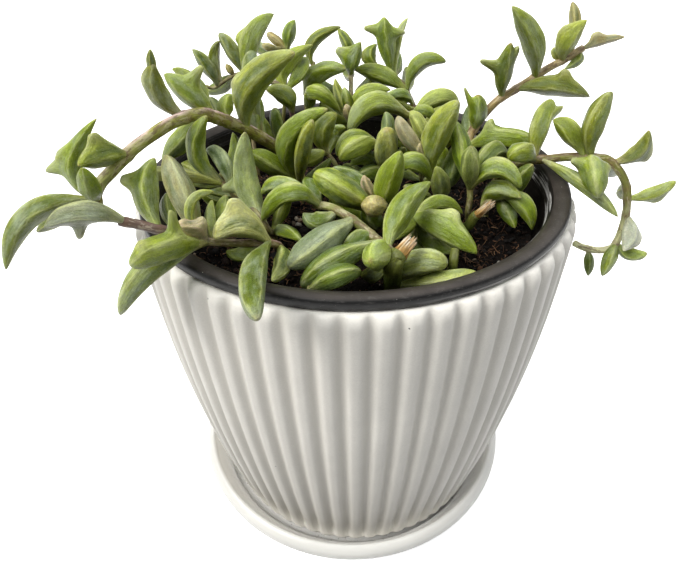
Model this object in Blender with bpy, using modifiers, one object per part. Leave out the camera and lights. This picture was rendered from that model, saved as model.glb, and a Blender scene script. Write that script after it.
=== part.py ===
"""A string of dolphins in its black nursery pot, hung in a white fluted cover pot on a saucer.

Lengths are millimetres until a mesh is made, with +Z up. The pots turn about the Z axis, the
saucer's underside is z = 0, and the front of the plant faces -Y.

The plant is laid out by eye from one point before the pot and above it. A place on it is written
as (across, down, behind): where it shows in a picture 679 wide and 561 high, and how many
millimetres it lies behind the pot's axis. A place on the soil needs only (across, down).
"""

import math
from typing import NamedTuple

import bmesh
import bpy
import numpy as np

MM = 0.001
GAP = 0.3

# The saucer, which the cover pot stands on a little to the right of its middle.
SAUCER_ACROSS = -1.5
SAUCER_OUTER = 73.3
SAUCER_HIGH = 14.0
SAUCER_FLOOR = 2.2
SAUCER_FLOOR_RADIUS = 63.4
SAUCER_SIDES = 40

# The white cover pot: upright full ribs side by side with rounded grooves between them.
COVER_FOOT = SAUCER_FLOOR + GAP
COVER_TOP = 144.6
COVER_FOOT_RADIUS = 61.1
COVER_TOP_RADIUS = 78.8
COVER_WALL = 5.0
COVER_FLOOR = 4.0
COVER_DRAIN = 7.0
RIBS = 60
RIB_DEPTH = 2.0
RIB_SEGMENTS = 3
RIB_TURN = math.radians(-2.6)
RIBS_START = 9.0
INSIDE_SIDES = 40

# The black nursery pot hangs by its rim on the cover pot's top edge.
RIM_TOP = 148.6
RIM_OUTER = 76.0
RIM_INNER = 71.7
NURSERY_WALL = 1.6
NURSERY_TOP_RADIUS = 70.9
NURSERY_FOOT_RADIUS = 56.0
NURSERY_FOOT = 30.0
NURSERY_SIDES = 44
DRAIN_HOLES = 6
DRAIN_RADIUS = 4.5
DRAIN_CIRCLE = 38.0

# The soil, with a plain hole for each stem.
SOIL_TOP = 129.0
SOIL_SIDES = 30
SOIL_UNEVEN = 0.9
ROOT_DEEP = 9.0

# Stems and leaves.
STEM_BEVEL = 1
TUBE_OFF_ROUTE = 0.35
CLEAR_OF_OTHERS = 0.5
CLEAR_OF_SISTERS = -0.5
WIDE_LEAF = 6.0
WIDE_LEAF_SIDES = 5
LEAF_SIDES = 4
LEAF_RINGS = (0.2, 0.5, 0.8)
LEAF_BASE_SHARE = 0.32
LEAF_FULLEST = 0.46
LEAF_THICK = 0.86
CORNERS_OUT = 1.1
FIN_HALF_LONG = 0.12

# The dried ends of cut stubs.
DRY_SIDES = 8
DRY_TORN = 0.22

# Short shoots and leaves that fill the plant where the layout by eye leaves room.
SHOOT_PLACES = 160
SHOOT_HIGH = (8.0, 22.0)
SHOOT_THICK = 2.0
MOST_SHOOTS = 22
LEAF_EVERY = 4.0
FILLING_LEAF_LONG = (19.0, 27.0)
SHOWN_LEAVES = 34
BACK_LEAVES = 16
TURN_PER_LEAF = math.radians(137.5)
BARE_SOIL = ((515, 250, 42), (458, 262, 14), (299, 222, 12), (345, 284, 12), (445, 190, 9))

# The eye that the plant is laid out from.
EYE_BEFORE = 182.4
EYE_HIGH = 235.5
EYE_TURN = -0.032
EYE_DOWN = 0.646
EYE_ROLL = -0.024
EYE_FOCUS = 540.0
PICTURE_MIDDLE = (339.5, 280.5)

LEAF_GREEN = (0.20, 0.29, 0.08)
POT_WHITE = (0.80, 0.79, 0.75)
SAUCER_WHITE = (0.84, 0.84, 0.82)
RIM_BLACK = (0.035, 0.035, 0.038)
SOIL_BROWN = (0.035, 0.024, 0.017)
DRY_TAN = (0.60, 0.34, 0.16)


class Leaf(NamedTuple):
    """Where a leaf leaves its stem, passes and ends, how wide it is, and the points of its fins."""

    base: tuple
    middle: tuple
    tip: tuple
    wide: float
    fins: tuple = ()


class Stem(NamedTuple):
    """A stem's place in the soil, the way it goes from there, its thickness and its leaves."""

    name: str
    root: tuple
    route: tuple
    thick: float
    leaves: tuple


class Stub(NamedTuple):
    """A cut shoot: its place in the soil, where it bends, its green end, its dry tip and its thickness."""

    name: str
    root: tuple
    bend: tuple
    end: tuple
    dry_tip: tuple
    thick: float


# The first stub is the foot of the front branch, which grew on from its side.
STUBS = (
    Stub("front_branch_stem", (392, 292), (393, 268, -58), (399, 255, -57), (415, 236, -53), 5.0),
    Stub("right_cut_stub", (458, 238), (468, 226, -19), (477, 215, -20), (494, 201, -22), 3.2),
)

STEMS = (
    Stem(
        "front_left_stem",
        (288, 262),
        ((274, 244, -42), (250, 243, -46), (228, 243, -48), (208, 242, -50), (194, 243, -51)),
        2.8,
        (
            Leaf((268, 243), (253, 277), (258, 320, -84), 6.4),
            Leaf((206, 243), (152, 266), (120, 315, -70), 6.2),
            Leaf((197, 243), (164, 248), (131, 266, -62), 6.2, ((171, 210), (139, 243))),
            Leaf((270, 243), (240, 224), (214, 239, -52), 7.5, ((234, 198),)),
            Leaf((205, 242), (190, 229), (177, 226, -56), 4.4, ((205, 219),)),
            Leaf((195, 243), (181, 190), (165, 155, -36), 6.6),
            Leaf((198, 243), (190, 205), (214, 192, -46), 2.8),
            Leaf((262, 243), (243, 254), (226, 251, -48), 4.8),
            Leaf((277, 246), (284, 262), (272, 281, -58), 5.5),
            Leaf((214, 243), (210, 222), (212, 200, -40), 3.2),
            Leaf((224, 243), (222, 215), (226, 195, -36), 4.0),
        ),
    ),
    Stem(
        "front_branch_stem",
        (392, 292),
        (
            (394, 264, -57), (390, 253, -54), (383, 246, -50), (371, 235, -44),
            (357, 223, -38), (345, 215, -33), (330, 207, -28), (315, 205, -24),
        ),
        3.4,
        (
            Leaf((318, 206), (288, 192), (262, 221, -26), 6.2, ((291, 182),)),
            Leaf((354, 221), (320, 244), (288, 268, -52), 8.0),
            Leaf((386, 249), (377, 255), (370, 261, -66), 7.2),
            Leaf((388, 250), (401, 211), (431, 182, -30), 7.0),
            Leaf((380, 244), (333, 262), (302, 287, -58), 6.8),
            Leaf((398, 282), (420, 262), (447, 266, -54), 7.6),
            Leaf((398, 288), (440, 280), (477, 273, -56), 4.5),
            Leaf((316, 205), (285, 184), (262, 194, -18), 5.0),
            Leaf((338, 211), (318, 221), (303, 213, -30), 6.0),
            Leaf((372, 238), (358, 240), (342, 254, -46), 6.0),
            Leaf((322, 206), (312, 192), (306, 178, -12), 6.0),
        ),
    ),
    Stem(
        "front_short_stem",
        (306, 306),
        ((308, 296, -60), (310, 288, -62)),
        2.2,
        (Leaf((310, 290), (336, 276), (361, 272, -62), 6.2),),
    ),
    Stem(
        "left_low_stem",
        (232, 246),
        (
            (212, 239, -34), (190, 235, -41), (160, 230, -46),
            (140, 225, -47), (119, 221, -48),
        ),
        3.4,
        (
            Leaf((119, 222), (84, 212), (44, 228, -54), 6.2, ((80, 239),)),
            Leaf((161, 232), (146, 193), (155, 158, -30), 6.6, ((120, 179),)),
            Leaf((176, 235), (168, 212), (167, 193, -30), 4.0),
        ),
    ),
    Stem(
        "left_arch_stem",
        (303, 190),
        (
            (292, 166, 26), (281, 151, 21), (262, 138, 15), (243, 128, 9), (220, 119, 1),
            (200, 114, -6), (180, 119, -13), (164, 127, -18), (146, 139, -24),
            (132, 150, -29), (117, 166, -34), (101, 183, -38), (96, 195, -40), (97, 206, -41),
        ),
        4.2,
        (
            Leaf((88, 203), (31, 214), (5, 270, -56), 5.8),
            Leaf((92, 207), (62, 216), (37, 232, -42), 4.2),
            Leaf((93, 204), (73, 166), (97, 118, -34), 4.8, ((45, 169), (55, 156))),
            Leaf((97, 207), (90, 188), (82, 168, -48), 5.2),
            Leaf((127, 156), (102, 155), (78, 166, -46), 6.2, ((92, 133),)),
            Leaf((184, 115), (158, 93), (153, 63, -14), 6.2, ((141, 78), (150, 49))),
            Leaf((217, 117), (190, 94), (164, 74, 0), 7.0, ((202, 66),)),
            Leaf((246, 129), (251, 84), (295, 53, 4), 9.0, ((232, 80),)),
            Leaf((202, 118), (182, 140), (162, 160, -4), 6.5),
            Leaf((210, 115), (196, 85), (172, 69, 14), 5.0),
            Leaf((226, 121), (225, 107), (232, 95, 14), 5.0),
            Leaf((222, 119), (214, 107), (210, 97, 18), 4.5),
            Leaf((257, 135), (256, 115), (260, 98, 22), 5.5),
            Leaf((262, 138), (250, 75), (256, 54, 26), 6.0),
            Leaf((283, 152), (277, 125), (275, 108, 20), 5.0),
        ),
    ),
    Stem(
        "left_middle_stem",
        (274, 240),
        ((266, 228, -26), (250, 205, -20), (232, 190, -15), (218, 182, -13)),
        2.6,
        (
            Leaf((266, 228), (247, 184), (245, 132, -26), 7.2, ((222, 189), (257, 181))),
            Leaf((219, 182), (196, 152), (207, 116, -12), 6.0, ((188, 155),)),
            Leaf((232, 190), (222, 160), (207, 150, -6), 5.5),
            Leaf((222, 184), (205, 184), (189, 181, -16), 3.6),
            Leaf((222, 185), (172, 174), (136, 178, -36), 4.8),
            Leaf((220, 183), (203, 172), (181, 163, -6), 6.0),
            Leaf((272, 236), (285, 231), (302, 241, -34), 4.5),
        ),
    ),
    Stem(
        "centre_left_stem",
        (301, 204),
        ((299, 186, 9), (298, 172, 7), (302, 156, 5), (306, 146, 5)),
        2.6,
        (
            Leaf((299, 187), (288, 140), (328, 109, -2), 7.4),
            Leaf((300, 188), (303, 150), (313, 120, -6), 5.6),
            Leaf((298, 178), (270, 163), (250, 152, 2), 6.6),
            Leaf((301, 166), (312, 158), (325, 151, 6), 5.5),
            Leaf((298, 184), (315, 176), (331, 158, 12), 4.5),
        ),
    ),
    Stem(
        "middle_stem",
        (345, 196),
        ((341, 178, 14), (334, 162, 16), (324, 151, 18)),
        2.2,
        (
            Leaf((326, 152), (322, 131), (337, 114, 18), 7.5),
            Leaf((330, 155), (334, 135), (345, 128, 22), 6.0),
            Leaf((341, 180), (352, 172), (372, 190, 2), 6.0),
            Leaf((342, 186), (330, 188), (317, 181, -2), 5.0),
        ),
    ),
    Stem(
        "centre_back_stem",
        (389, 190),
        ((386, 172, 6), (382, 154, 10), (378, 140, 12)),
        2.4,
        (
            Leaf((387, 174), (386, 150), (387, 129, -2), 8.0),
            Leaf((378, 140), (352, 136), (337, 156, 4), 4.4),
            Leaf((379, 143), (355, 146), (341, 161, 0), 7.0),
            Leaf((384, 156), (388, 130), (385, 112, 14), 4.5),
            Leaf((386, 172), (368, 158), (350, 166, 6), 5.5),
            Leaf((387, 176), (372, 172), (352, 182, 0), 5.5),
            Leaf((387, 176), (398, 164), (404, 148, 2), 5.0),
        ),
    ),
    Stem(
        "centre_front_stem",
        (382, 228),
        ((380, 214, -14), (379, 200, -16)),
        2.6,
        (
            Leaf((384, 210), (388, 182), (401, 151, -22), 7.6),
            Leaf((379, 208), (374, 206), (371, 204, -32), 7.0),
            Leaf((378, 200), (368, 188), (364, 175, -14), 3.6),
            Leaf((376, 214), (340, 188), (316, 175, -20), 8.0),
            Leaf((381, 226), (372, 219), (366, 208, -18), 6.0),
            Leaf((378, 206), (358, 182), (332, 168, -8), 6.0),
            Leaf((381, 222), (352, 216), (330, 198, -14), 6.5),
        ),
    ),
    Stem(
        "right_front_stem",
        (424, 238),
        ((416, 222, -28), (412, 212, -26)),
        2.6,
        (
            Leaf((412, 214), (443, 226), (477, 254, -44), 8.2, ((456, 210),)),
            Leaf((416, 222), (432, 240), (456, 252, -40), 6.0),
            Leaf((416, 224), (404, 226), (396, 240, -38), 6.0),
            Leaf((418, 224), (414, 240), (424, 250, -36), 5.0),
            Leaf((413, 212), (438, 203), (463, 214, -20), 5.0),
        ),
    ),
    Stem(
        "right_middle_stem",
        (440, 214),
        ((438, 200, -4), (433, 180, -4), (430, 165, -3), (426, 150, 0), (423, 138, 3)),
        2.6,
        (
            Leaf((431, 168), (437, 134), (459, 101, -8), 8.2),
            Leaf((440, 203), (441, 186), (436, 167, -16), 5.8),
            Leaf((428, 158), (408, 137), (398, 116, -2), 4.8),
            Leaf((428, 158), (422, 152), (420, 143, -6), 2.8),
            Leaf((424, 142), (420, 126), (410, 111, 6), 4.6),
            Leaf((433, 182), (414, 161), (402, 170, -8), 6.5),
            Leaf((437, 196), (452, 170), (452, 147, 0), 6.5),
            Leaf((440, 206), (420, 196), (404, 186, -4), 5.5),
        ),
    ),
    Stem(
        "right_inner_stem",
        (468, 226),
        ((468, 210, -12), (470, 198, -12), (470, 184, -12)),
        2.6,
        (
            Leaf((470, 188), (470, 166), (471, 146, -16), 6.2),
            Leaf((470, 190), (462, 150), (456, 121, -4), 5.8),
            Leaf((470, 188), (497, 168), (521, 188, -20), 6.0, ((500, 157),)),
            Leaf((470, 186), (490, 152), (509, 161, 0), 5.8),
        ),
    ),
    Stem(
        "right_low_stem",
        (485, 218),
        ((483, 206, -14), (494, 197, -15), (504, 194, -15)),
        2.2,
        (
            Leaf((484, 206), (497, 190), (521, 198, -22), 6.0),
            Leaf((504, 194), (523, 204), (532, 230, -22), 5.6),
            Leaf((497, 196), (506, 208), (515, 228, -20), 5.0),
        ),
    ),
    Stem(
        "right_upper_spray",
        (462, 168),
        (
            (466, 148, 30), (471, 134, 32), (484, 115, 34), (497, 101, 35), (511, 92, 36),
            (530, 80, 38), (547, 69, 40), (562, 61, 42), (574, 54, 43), (583, 48, 44),
        ),
        3.6,
        (
            Leaf((533, 79), (533, 42), (512, 6, 30), 7.4, ((545, 46),)),
            Leaf((500, 99), (504, 72), (511, 43, 30), 5.8, ((480, 61), (519, 48))),
            Leaf((473, 131), (478, 113), (478, 95, 30), 6.4, ((464, 88),)),
            Leaf((519, 92), (554, 86), (590, 97, 34), 6.8, ((566, 69),)),
            Leaf((466, 146), (503, 137), (541, 146, 14), 7.2, ((490, 119),)),
            Leaf((562, 61), (568, 40), (587, 20, 38), 7.0, ((560, 29),)),
            Leaf((572, 55), (575, 25), (572, 2, 50), 4.0),
            Leaf((560, 62), (556, 54), (554, 47, 44), 3.2),
            Leaf((583, 48), (602, 41), (625, 37, 46), 3.0, ((595, 32),)),
            Leaf((583, 48), (578, 60), (564, 69, 40), 3.4),
        ),
    ),
    Stem(
        "right_lower_spray",
        (493, 190),
        (
            (502, 176, 1), (514, 165, 1), (534, 160, 1), (548, 159, 0), (568, 157, -2),
            (585, 157, -4), (607, 159, -6), (616, 167, -8), (624, 179, -9), (627, 192, -10),
            (627, 205, -11), (625, 219, -12), (621, 231, -13), (616, 243, -14),
            (609, 249, -14), (594, 250, -12), (582, 247, -10), (574, 243, -9),
        ),
        3.2,
        (
            Leaf((583, 157), (570, 132), (553, 120, 2), 6.4),
            Leaf((593, 157), (594, 122), (612, 92, 0), 6.4),
            Leaf((534, 159), (540, 125), (552, 100, 12), 6.6, ((563, 108),)),
            Leaf((544, 160), (583, 184), (618, 217, -10), 5.4),
            Leaf((592, 157), (594, 172), (598, 198, -28), 6.6, ((571, 160), (611, 167))),
            Leaf((534, 160), (522, 152), (509, 160, -8), 6.6),
            Leaf((611, 161), (637, 152), (649, 130, -8), 5.0, ((650, 158),)),
            Leaf((627, 196), (654, 193), (677, 181, -14), 4.4, ((659, 202),)),
            Leaf((627, 217), (630, 234), (623, 251, -20), 5.2, ((641, 241),)),
            Leaf((618, 243), (630, 254), (647, 253, -18), 4.6),
            Leaf((617, 244), (610, 258), (602, 276, -22), 4.2),
            Leaf((590, 249), (589, 262), (588, 276, -16), 3.2),
        ),
    ),
    Stem(
        "back_left_stem",
        (258, 174),
        (
            (252, 130, 40), (250, 100, 44), (246, 76, 46), (238, 74, 46),
            (226, 80, 45), (214, 88, 43), (206, 86, 42),
        ),
        1.8,
        (
            Leaf((216, 86), (207, 66), (192, 49, 44), 5.0),
            Leaf((221, 83), (214, 60), (219, 41, 48), 4.6),
            Leaf((245, 77), (233, 52), (219, 33, 50), 5.6),
            Leaf((248, 84), (251, 40), (274, 14, 54), 7.6, ((236, 36),)),
            Leaf((234, 76), (230, 70), (226, 64, 46), 2.6),
        ),
    ),
    Stem(
        "back_left_upper_stem",
        (280, 160),
        ((284, 110, 50), (286, 70, 60), (288, 50, 64), (272, 48, 64)),
        1.8,
        (
            Leaf((287, 48), (276, 40), (267, 33, 68), 3.4),
            Leaf((288, 50), (289, 34), (295, 20, 66), 5.0),
            Leaf((273, 48), (268, 47), (262, 45, 62), 3.2),
        ),
    ),
    Stem(
        "back_purple_stem",
        (296, 160),
        ((292, 112, 34), (286, 90, 38), (276, 83, 38), (266, 82, 38)),
        2.4,
        (
            Leaf((286, 90), (284, 66), (313, 45, 46), 6.4),
            Leaf((292, 110), (285, 95), (266, 90, 28), 6.6),
            Leaf((286, 88), (300, 72), (306, 58, 50), 5.5),
        ),
    ),
    Stem(
        "back_middle_stem",
        (312, 156),
        ((307, 115, 44), (306, 92, 50), (311, 70, 56), (314, 62, 58)),
        2.0,
        (
            Leaf((307, 95), (318, 74), (346, 69, 46), 7.0, ((301, 70),)),
            Leaf((313, 66), (313, 42), (341, 27, 64), 4.6),
            Leaf((306, 110), (310, 101), (305, 94, 36), 4.4),
            Leaf((306, 105), (318, 92), (340, 112, 36), 6.0),
        ),
    ),
    Stem(
        "back_centre_stem",
        (356, 158),
        ((352, 120, 44), (351, 95, 50), (351, 74, 56), (350, 54, 60)),
        2.2,
        (
            Leaf((350, 55), (346, 42), (338, 29, 62), 4.0),
            Leaf((351, 76), (352, 60), (361, 42, 52), 6.4, ((336, 49),)),
            Leaf((350, 118), (341, 100), (335, 78, 44), 4.0),
            Leaf((351, 116), (348, 102), (344, 87, 38), 3.8),
            Leaf((353, 124), (349, 115), (346, 104, 32), 3.6),
            Leaf((352, 108), (366, 92), (391, 90, 40), 5.4),
        ),
    ),
    Stem(
        "back_right_stem",
        (428, 158),
        (
            (418, 120, 50), (413, 105, 53), (407, 91, 56), (401, 82, 58),
            (392, 74, 60), (383, 68, 61), (374, 66, 62),
        ),
        2.2,
        (
            Leaf((408, 90), (420, 63), (446, 62, 56), 6.0),
            Leaf((393, 74), (386, 42), (384, 17, 60), 6.4, ((364, 28), (405, 32))),
            Leaf((396, 78), (398, 40), (408, 18, 68), 3.4),
            Leaf((405, 92), (380, 74), (354, 70, 56), 6.8),
            Leaf((413, 104), (401, 94), (383, 99, 44), 4.2),
            Leaf((375, 66), (370, 56), (377, 44, 66), 4.6, ((361, 57),)),
        ),
    ),
    Stem(
        "right_back_stem",
        (416, 160),
        ((412, 128, 34), (408, 112, 36)),
        2.4,
        (
            Leaf((406, 112), (372, 104), (349, 135, 22), 8.2),
            Leaf((412, 120), (436, 98), (459, 103, 36), 6.4),
            Leaf((411, 124), (424, 110), (438, 124, 28), 4.6),
        ),
    ),
    Stem("front_right_stub", (451, 278), ((453, 266, -51), (455, 250, -48)), 3.4, ()),
)


# The eye.


def eye_axes():
    """The eye's place and its right, up and forward directions."""
    cos_turn, sin_turn = math.cos(EYE_TURN), math.sin(EYE_TURN)
    cos_down, sin_down = math.cos(EYE_DOWN), math.sin(EYE_DOWN)
    cos_roll, sin_roll = math.cos(EYE_ROLL), math.sin(EYE_ROLL)
    forward = np.array((sin_turn * cos_down, cos_turn * cos_down, -sin_down))
    level = np.array((cos_turn, -sin_turn, 0.0))
    upright = np.cross(level, forward)
    right = cos_roll * level + sin_roll * upright
    up = cos_roll * upright - sin_roll * level
    return np.array((0.0, -EYE_BEFORE, EYE_HIGH)), right, up, forward


EYE, EYE_RIGHT, EYE_UP, EYE_FORWARD = eye_axes()


def sight_line(across, down):
    along = EYE_RIGHT * (across - PICTURE_MIDDLE[0]) - EYE_UP * (down - PICTURE_MIDDLE[1])
    return along + EYE_FORWARD * EYE_FOCUS


def seen(across, down, behind):
    """The point that shows at this place of the picture and lies this far behind the pot's axis."""
    line = sight_line(across, down)
    return EYE + line * (behind - EYE[1]) / line[1]


def seen_on_soil(across, down):
    line = sight_line(across, down)
    return EYE + line * (SOIL_TOP - EYE[2]) / line[2]


def in_picture(points):
    """Where points show in the picture, as (across, down)."""
    away = np.atleast_2d(points) - EYE
    depth = away @ EYE_FORWARD
    across = PICTURE_MIDDLE[0] + EYE_FOCUS * (away @ EYE_RIGHT) / depth
    down = PICTURE_MIDDLE[1] - EYE_FOCUS * (away @ EYE_UP) / depth
    return np.stack((across, down), 1)


# Where stems and leaves go.


def unit(vector):
    return vector / max(np.linalg.norm(vector), 1e-9)


def smooth_route(points, step=2.0):
    """Points about a step apart on a smooth curve through the given ones."""
    points = np.array(points)
    before = np.vstack((2 * points[0] - points[1], points, 2 * points[-1] - points[-2]))
    found = []
    for a, b, c, d in zip(before, before[1:], before[2:], before[3:]):
        pieces = max(1, round(np.linalg.norm(c - b) / step))
        for share in np.arange(pieces) / pieces:
            found.append(
                0.5 * (2 * b + (c - a) * share + (2 * a - 5 * b + 4 * c - d) * share**2
                       + (3 * b - a - 3 * c + d) * share**3)
            )
    found.append(points[-1])
    return np.array(found)


def leaf_fullness(share):
    """How full a leaf is at this share of its length: a narrow stalk at the base, a pointed tip."""
    up = np.clip(share / LEAF_FULLEST, 0, 1)
    rising = LEAF_BASE_SHARE + (1 - LEAF_BASE_SHARE) * (up * up * (3 - 2 * up)) ** 0.8
    falling = (1 - np.clip((share - LEAF_FULLEST) / (1 - LEAF_FULLEST), 0, 1) ** 2.2) ** 0.9
    return np.where(share < LEAF_FULLEST, rising, falling)


def on_bend(ends, share):
    """The point at this share of a bend given by its start, its middle and its end."""
    start, middle, end = ends
    share = np.asarray(share, float)[..., None]
    control = 2 * middle - (start + end) / 2
    return start * (1 - share) ** 2 + 2 * control * share * (1 - share) + end * share**2


class Trunk(NamedTuple):
    """A stem in its place, with the leaves that grow from it."""

    name: str
    thick: float
    route: np.ndarray
    leaves: list


class Placed(NamedTuple):
    """A leaf in its place: the three points of its bend, its width, its fins and how many sides."""

    stem: int
    ends: tuple
    wide: float
    fins: tuple
    sides: int


LEAF_CHECKS = np.linspace(0.1, 0.98, 12)


def leaf_balls(leaf):
    """Balls that fill a leaf and its fins: their middles, radii and shares of its length."""
    places = [on_bend(leaf.ends, LEAF_CHECKS)]
    radii = [leaf.wide / 2 * leaf_fullness(LEAF_CHECKS)]
    shares = [LEAF_CHECKS]
    for share, point in leaf.fins:
        root = on_bend(leaf.ends, share)
        out = np.array((0.35, 0.6, 0.8, 1.0))
        places.append(root + (point - root) * out[:, None])
        radii.append(leaf.wide / 2 * (1 - out) * 0.8 + 0.4)
        shares.append(np.full(len(out), share))
    return np.vstack(places), np.concatenate(radii), np.concatenate(shares)


def clear_of_pots(places, radii):
    """Whether balls keep off the soil, the rim and the walls under it."""
    away = np.hypot(places[:, 0], places[:, 1])
    low = places[:, 2] - radii
    over_rim = low > RIM_TOP + CLEAR_OF_OTHERS
    inside = (away + radii < NURSERY_TOP_RADIUS - NURSERY_WALL - 1.2) & (low > SOIL_TOP + SOIL_UNEVEN)
    outside = away - radii > COVER_TOP_RADIUS + CLEAR_OF_OTHERS
    return bool((over_rim | inside | outside).all())


class Thicket:
    """All balls placed so far, with the stem and the share of the leaf that each belongs to."""

    def __init__(self):
        self.places = np.empty((0, 3))
        self.radii = np.empty(0)
        self.stems = np.empty(0, int)
        self.shares = np.empty(0)

    def add(self, stem, places, radii, shares):
        self.places = np.vstack((self.places, places))
        self.radii = np.concatenate((self.radii, radii))
        self.stems = np.concatenate((self.stems, np.full(len(radii), stem)))
        self.shares = np.concatenate((self.shares, shares))

    def has_room(self, stem, places, radii, shares):
        near = np.abs(self.places - places.mean(0)).max(1) < 40
        apart = np.linalg.norm(places[:, None] - self.places[near], axis=2)
        apart = apart - radii[:, None] - self.radii[near]
        sisters = self.stems[near] == stem
        if (apart[:, ~sisters] < CLEAR_OF_OTHERS).any():
            return False
        outer = (shares[:, None] > 0.4) & (self.shares[near] > 0.4)[None] & sisters[None]
        return not (outer & (apart < CLEAR_OF_SISTERS)).any()


DEPTH_TRIES = (0, -3, 3, -6, 6, -9, 9, -12, 12, -15, 15, -18, 18)
MIDDLE_TRIES = (0, -3, 3, -6, 6)


def place_leaf(number, leaf, route, thicket):
    """The leaf where it shows in the picture, nearer or farther if it would touch another.

    It starts inside the stem, and so never at the stem's very end.
    """
    shown = in_picture(route[:-1])
    at = np.linalg.norm(shown - np.array(leaf.base), axis=1).argmin()
    base = route[at]
    for slimmer in (1.15, 1.0, 0.85, 0.7):
        for depth in DEPTH_TRIES:
            tip = seen(leaf.tip[0], leaf.tip[1], leaf.tip[2] + depth)
            for more in MIDDLE_TRIES:
                behind = (base[1] + tip[1]) / 2 + more
                ends = (base, seen(*leaf.middle, behind), tip)
                line = on_bend(ends, np.linspace(0, 1, 21))
                flat = in_picture(line)
                fins = []
                for fin in leaf.fins:
                    share = np.linalg.norm(flat - np.array(fin), axis=1)[7:16].argmin() + 7
                    fins.append((share / 20, seen(*fin, line[share][1])))
                sides = WIDE_LEAF_SIDES if leaf.wide >= WIDE_LEAF else LEAF_SIDES
                placed = Placed(number, ends, leaf.wide * slimmer, tuple(fins), sides)
                balls = leaf_balls(placed)
                above = balls[2] > 0.2
                if clear_of_pots(balls[0][above], balls[1][above]) and thicket.has_room(number, *balls):
                    thicket.add(number, *balls)
                    return placed
    return None


def stem_route(stem):
    """The stem's way above the soil, straight up at first from the place where it stands."""
    root = seen_on_soil(*stem.root)
    return smooth_route([root, root + (0, 0, 2.5), *(seen(*place) for place in stem.route)])


def stub_route(stub):
    """The green part of a cut stub, whose end faces along the dry tip."""
    root = seen_on_soil(*stub.root)
    end, dry_tip = seen(*stub.end), seen(*stub.dry_tip)
    last = end - unit(dry_tip - end) * 1.5
    return np.array([root, root + (0, 0, 2.5), seen(*stub.bend), last, end])


class View:
    """What the leaves laid out by eye look like in the picture, which nothing else may change."""

    def __init__(self, thicket):
        self.flat = in_picture(thicket.places)
        self.depth = (thicket.places - EYE) @ EYE_FORWARD
        self.wide = thicket.radii * EYE_FOCUS / self.depth

    def is_kept_by(self, places, radii):
        """Whether balls hide no such leaf, spare the bare soil and leave the outline as it is."""
        flat = in_picture(places)
        depth = (places - EYE) @ EYE_FORWARD
        wide = radii * EYE_FOCUS / depth
        apart = np.linalg.norm(flat[:, None] - self.flat, axis=2)
        nearer = depth[:, None] < self.depth
        if (nearer & (apart < 0.8 * (wide[:, None] + self.wide))).any():
            return False
        for across, down, radius in BARE_SOIL:
            if (np.hypot(flat[:, 0] - across, flat[:, 1] - down) < radius + wide).any():
                return False
        among = (apart < self.wide + 2).any(1)
        through = EYE + (places - EYE) * ((RIM_TOP - EYE[2]) / (places[:, 2] - EYE[2]))[:, None]
        in_rim = np.hypot(through[:, 0], through[:, 1]) + radii < RIM_INNER
        return bool((among | in_rim).all())

    def shows(self, places):
        """How much of a row of balls shows between what stands before it."""
        flat = in_picture(places)
        depth = (places - EYE) @ EYE_FORWARD
        apart = np.linalg.norm(flat[:, None] - self.flat, axis=2)
        hidden = ((apart < self.wide) & (self.depth < depth[:, None])).any(1)
        return 1 - hidden.mean()

    def add(self, places, radii):
        self.flat = np.vstack((self.flat, in_picture(places)))
        depth = (places - EYE) @ EYE_FORWARD
        self.depth = np.concatenate((self.depth, depth))
        self.wide = np.concatenate((self.wide, radii * EYE_FOCUS / depth * 0.8))


def shoot_routes(chance, thicket, view):
    """Short leaning shoots, spread evenly over the soil wherever there is room for one."""
    routes = []
    for step in range(SHOOT_PLACES):
        away = 62.0 * math.sqrt((step + 0.5) / SHOOT_PLACES)
        angle = step * TURN_PER_LEAF
        root = np.array((away * math.cos(angle), away * math.sin(angle), SOIL_TOP))
        high = chance.uniform(*SHOOT_HIGH)
        lean = chance.uniform(0, 0.7)
        turn = chance.uniform(0, math.tau)
        way = high * np.array((lean * math.cos(turn), lean * math.sin(turn), 1))
        route = smooth_route([root, root + (0, 0, 2.5), root + way * 0.6, root + way])
        radii = np.full(len(route), SHOOT_THICK / 2 + 0.3)
        number = len(STEMS) + len(routes)
        if not clear_of_pots(route[2:], radii[2:]) or not view.is_kept_by(route, radii):
            continue
        if len(routes) < MOST_SHOOTS and thicket.has_room(number, route, radii, radii * 0):
            thicket.add(number, route, radii - 0.3, radii * 0)
            routes.append(route)
    return routes


def filling_leaf(number, route, at, turn, smaller, chance):
    """A leaf that stands out from a shoot at this point, turned this far round it."""
    forward = unit(route[min(at + 1, len(route) - 1)] - route[max(at - 1, 0)])
    level = unit(np.cross(forward, (0.31, -0.95, 0.1)))
    outward = math.cos(turn) * level + math.sin(turn) * np.cross(forward, level)
    long = chance.uniform(*FILLING_LEAF_LONG) * smaller
    spread = math.radians(chance.uniform(35, 75))
    way = math.cos(spread) * forward + math.sin(spread) * outward + (0, 0, 0.25)
    tip = route[at] + unit(way) * long
    bulge = unit(outward - 0.6 * forward) * long * chance.uniform(0.06, 0.16)
    middle = (route[at] + tip) / 2 + bulge
    wide = long * chance.uniform(0.25, 0.31)
    fins = ()
    if chance.random() < 0.3:
        fins = ((0.5, middle + unit(bulge) * (wide / 2 + 0.1 * long)),)
    return Placed(number, (route[at], middle, tip), wide, fins, LEAF_SIDES)


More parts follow.
